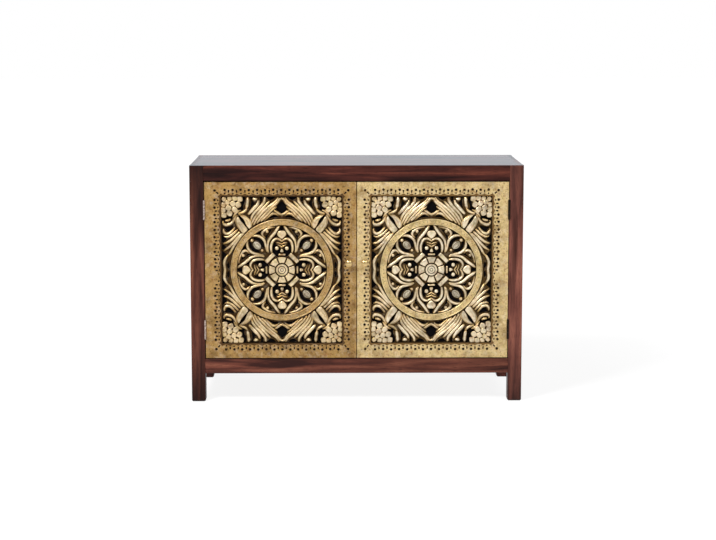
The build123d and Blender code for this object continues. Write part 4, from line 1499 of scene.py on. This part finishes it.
# %% The slot
slot_half = SLOT_HALF_PART * HEAD_RADIUS * MM
for place in (-slot_half, slot_half):
    bpy.ops.mesh.select_all(action="SELECT")
    bpy.ops.mesh.bisect(plane_co=(place, 0, 0), plane_no=(1, 0, 0))
pick_faces(screw, lambda face: face.normal.y < -0.9 and abs(face.center.x) < 0.9 * slot_half)
pull(SLOT_DEPTH_PART * HEAD_RISE)
faces_outwards()
bpy.ops.object.shade_smooth_by_angle(angle=math.radians(METAL_EDGE))
print("screw faces:", len(screw.data.polygons))

# %% [markdown]
# ### Rows of screws
# Screws that hold one fitting to one body are one piece, which rides on that body. A screw is
# turned from -Y to the way its head looks. Nobody lines the slots up, so each next screw in a
# row is turned a little further.

# %% Rows of screws
HEAD_FACES = Vector((0, -1, 0))
FIRST_SLOT, NEXT_SLOT = 25, 67


def screws(name, places_mm, facing, body, finish, size=1.0):
    """A few screws as one piece; facing is the direction in which their heads look."""
    heads = []
    aim = HEAD_FACES.rotation_difference(Vector(facing)).to_matrix().to_4x4()
    for index, place in enumerate(places_mm):
        spin = turn_by(FIRST_SLOT + NEXT_SLOT * index) @ Matrix.Scale(size, 4)
        heads.append(copied(screw, Matrix.Translation(Vector(place) * MM) @ aim @ spin))
    made = joined(name, heads)
    made.data.materials.clear()
    made.data.materials.append(finish)
    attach(made, body)
    return made


def on_both_sides(centre, spread, y, z):
    """Two places, left and right of a middle."""
    return [(centre + shift, y, z) for shift in (-spread, spread)]


print("slots turn by", NEXT_SLOT, "degrees from screw to screw")

# %% [markdown]
# ### Where the screws go
# Each hinge leaf has three screws, each catch and strike plate two, and the knob is held by one
# from the back of its stile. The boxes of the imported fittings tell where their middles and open
# sides are, and the screws are placed from there.

# %% Put screws in
HINGE_STEP, HINGE_INSET = 22.0, 8.5
LEAF_FACES = {"door": 492.5, "post": 495.0}  # how far out the open face of each leaf lies
CATCH_SPREAD, CATCH_BACK, CATCH_LIP = 19, 1, 3
STRIKE_SPREAD = 16.8

for side, sign in SIGN.items():
    door = f"door_{side}"
    for level in ("lower", "upper"):
        height = middle_mm(f"hinge_{side}_{level}_pin").z
        for leaf, out in LEAF_FACES.items():
            body, look = (door, sign) if leaf == "door" else ("cabinet", -sign)
            places = [(sign * out, DOOR_FACE / MM + HINGE_INSET, height + HINGE_STEP * step)
                      for step in (-1, 0, 1)]
            screws(f"hinge_{side}_{level}_{leaf}_screws", places, (look, 0, 0), body,
                   hinge_metal[side])
    catch = middle_mm(f"catch_{side}")
    catch_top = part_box(f"catch_{side}")[1].z / MM
    places = on_both_sides(catch.x, CATCH_SPREAD, catch.y + CATCH_BACK, catch_top - CATCH_LIP)
    screws(f"catch_{side}_screws", places, (0, 0, -1), "cabinet", steel, 0.8)
    strike_plate = middle_mm(f"{door}_strike")
    plate_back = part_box(f"{door}_strike")[1].y / MM
    places = on_both_sides(strike_plate.x, STRIKE_SPREAD, plate_back, strike_plate.z)
    screws(f"{door}_strike_screws", places, (0, 1, 0), door, steel, 0.6)
    knob = middle_mm(f"{door}_knob")
    stile_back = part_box(f"{door}_stile_meeting")[1].y / MM
    place = (knob.x, stile_back, knob.z)
    screws(f"{door}_knob_screw", [place], (0, 1, 0), door, steel, 1.3)
bpy.data.objects.remove(screw)
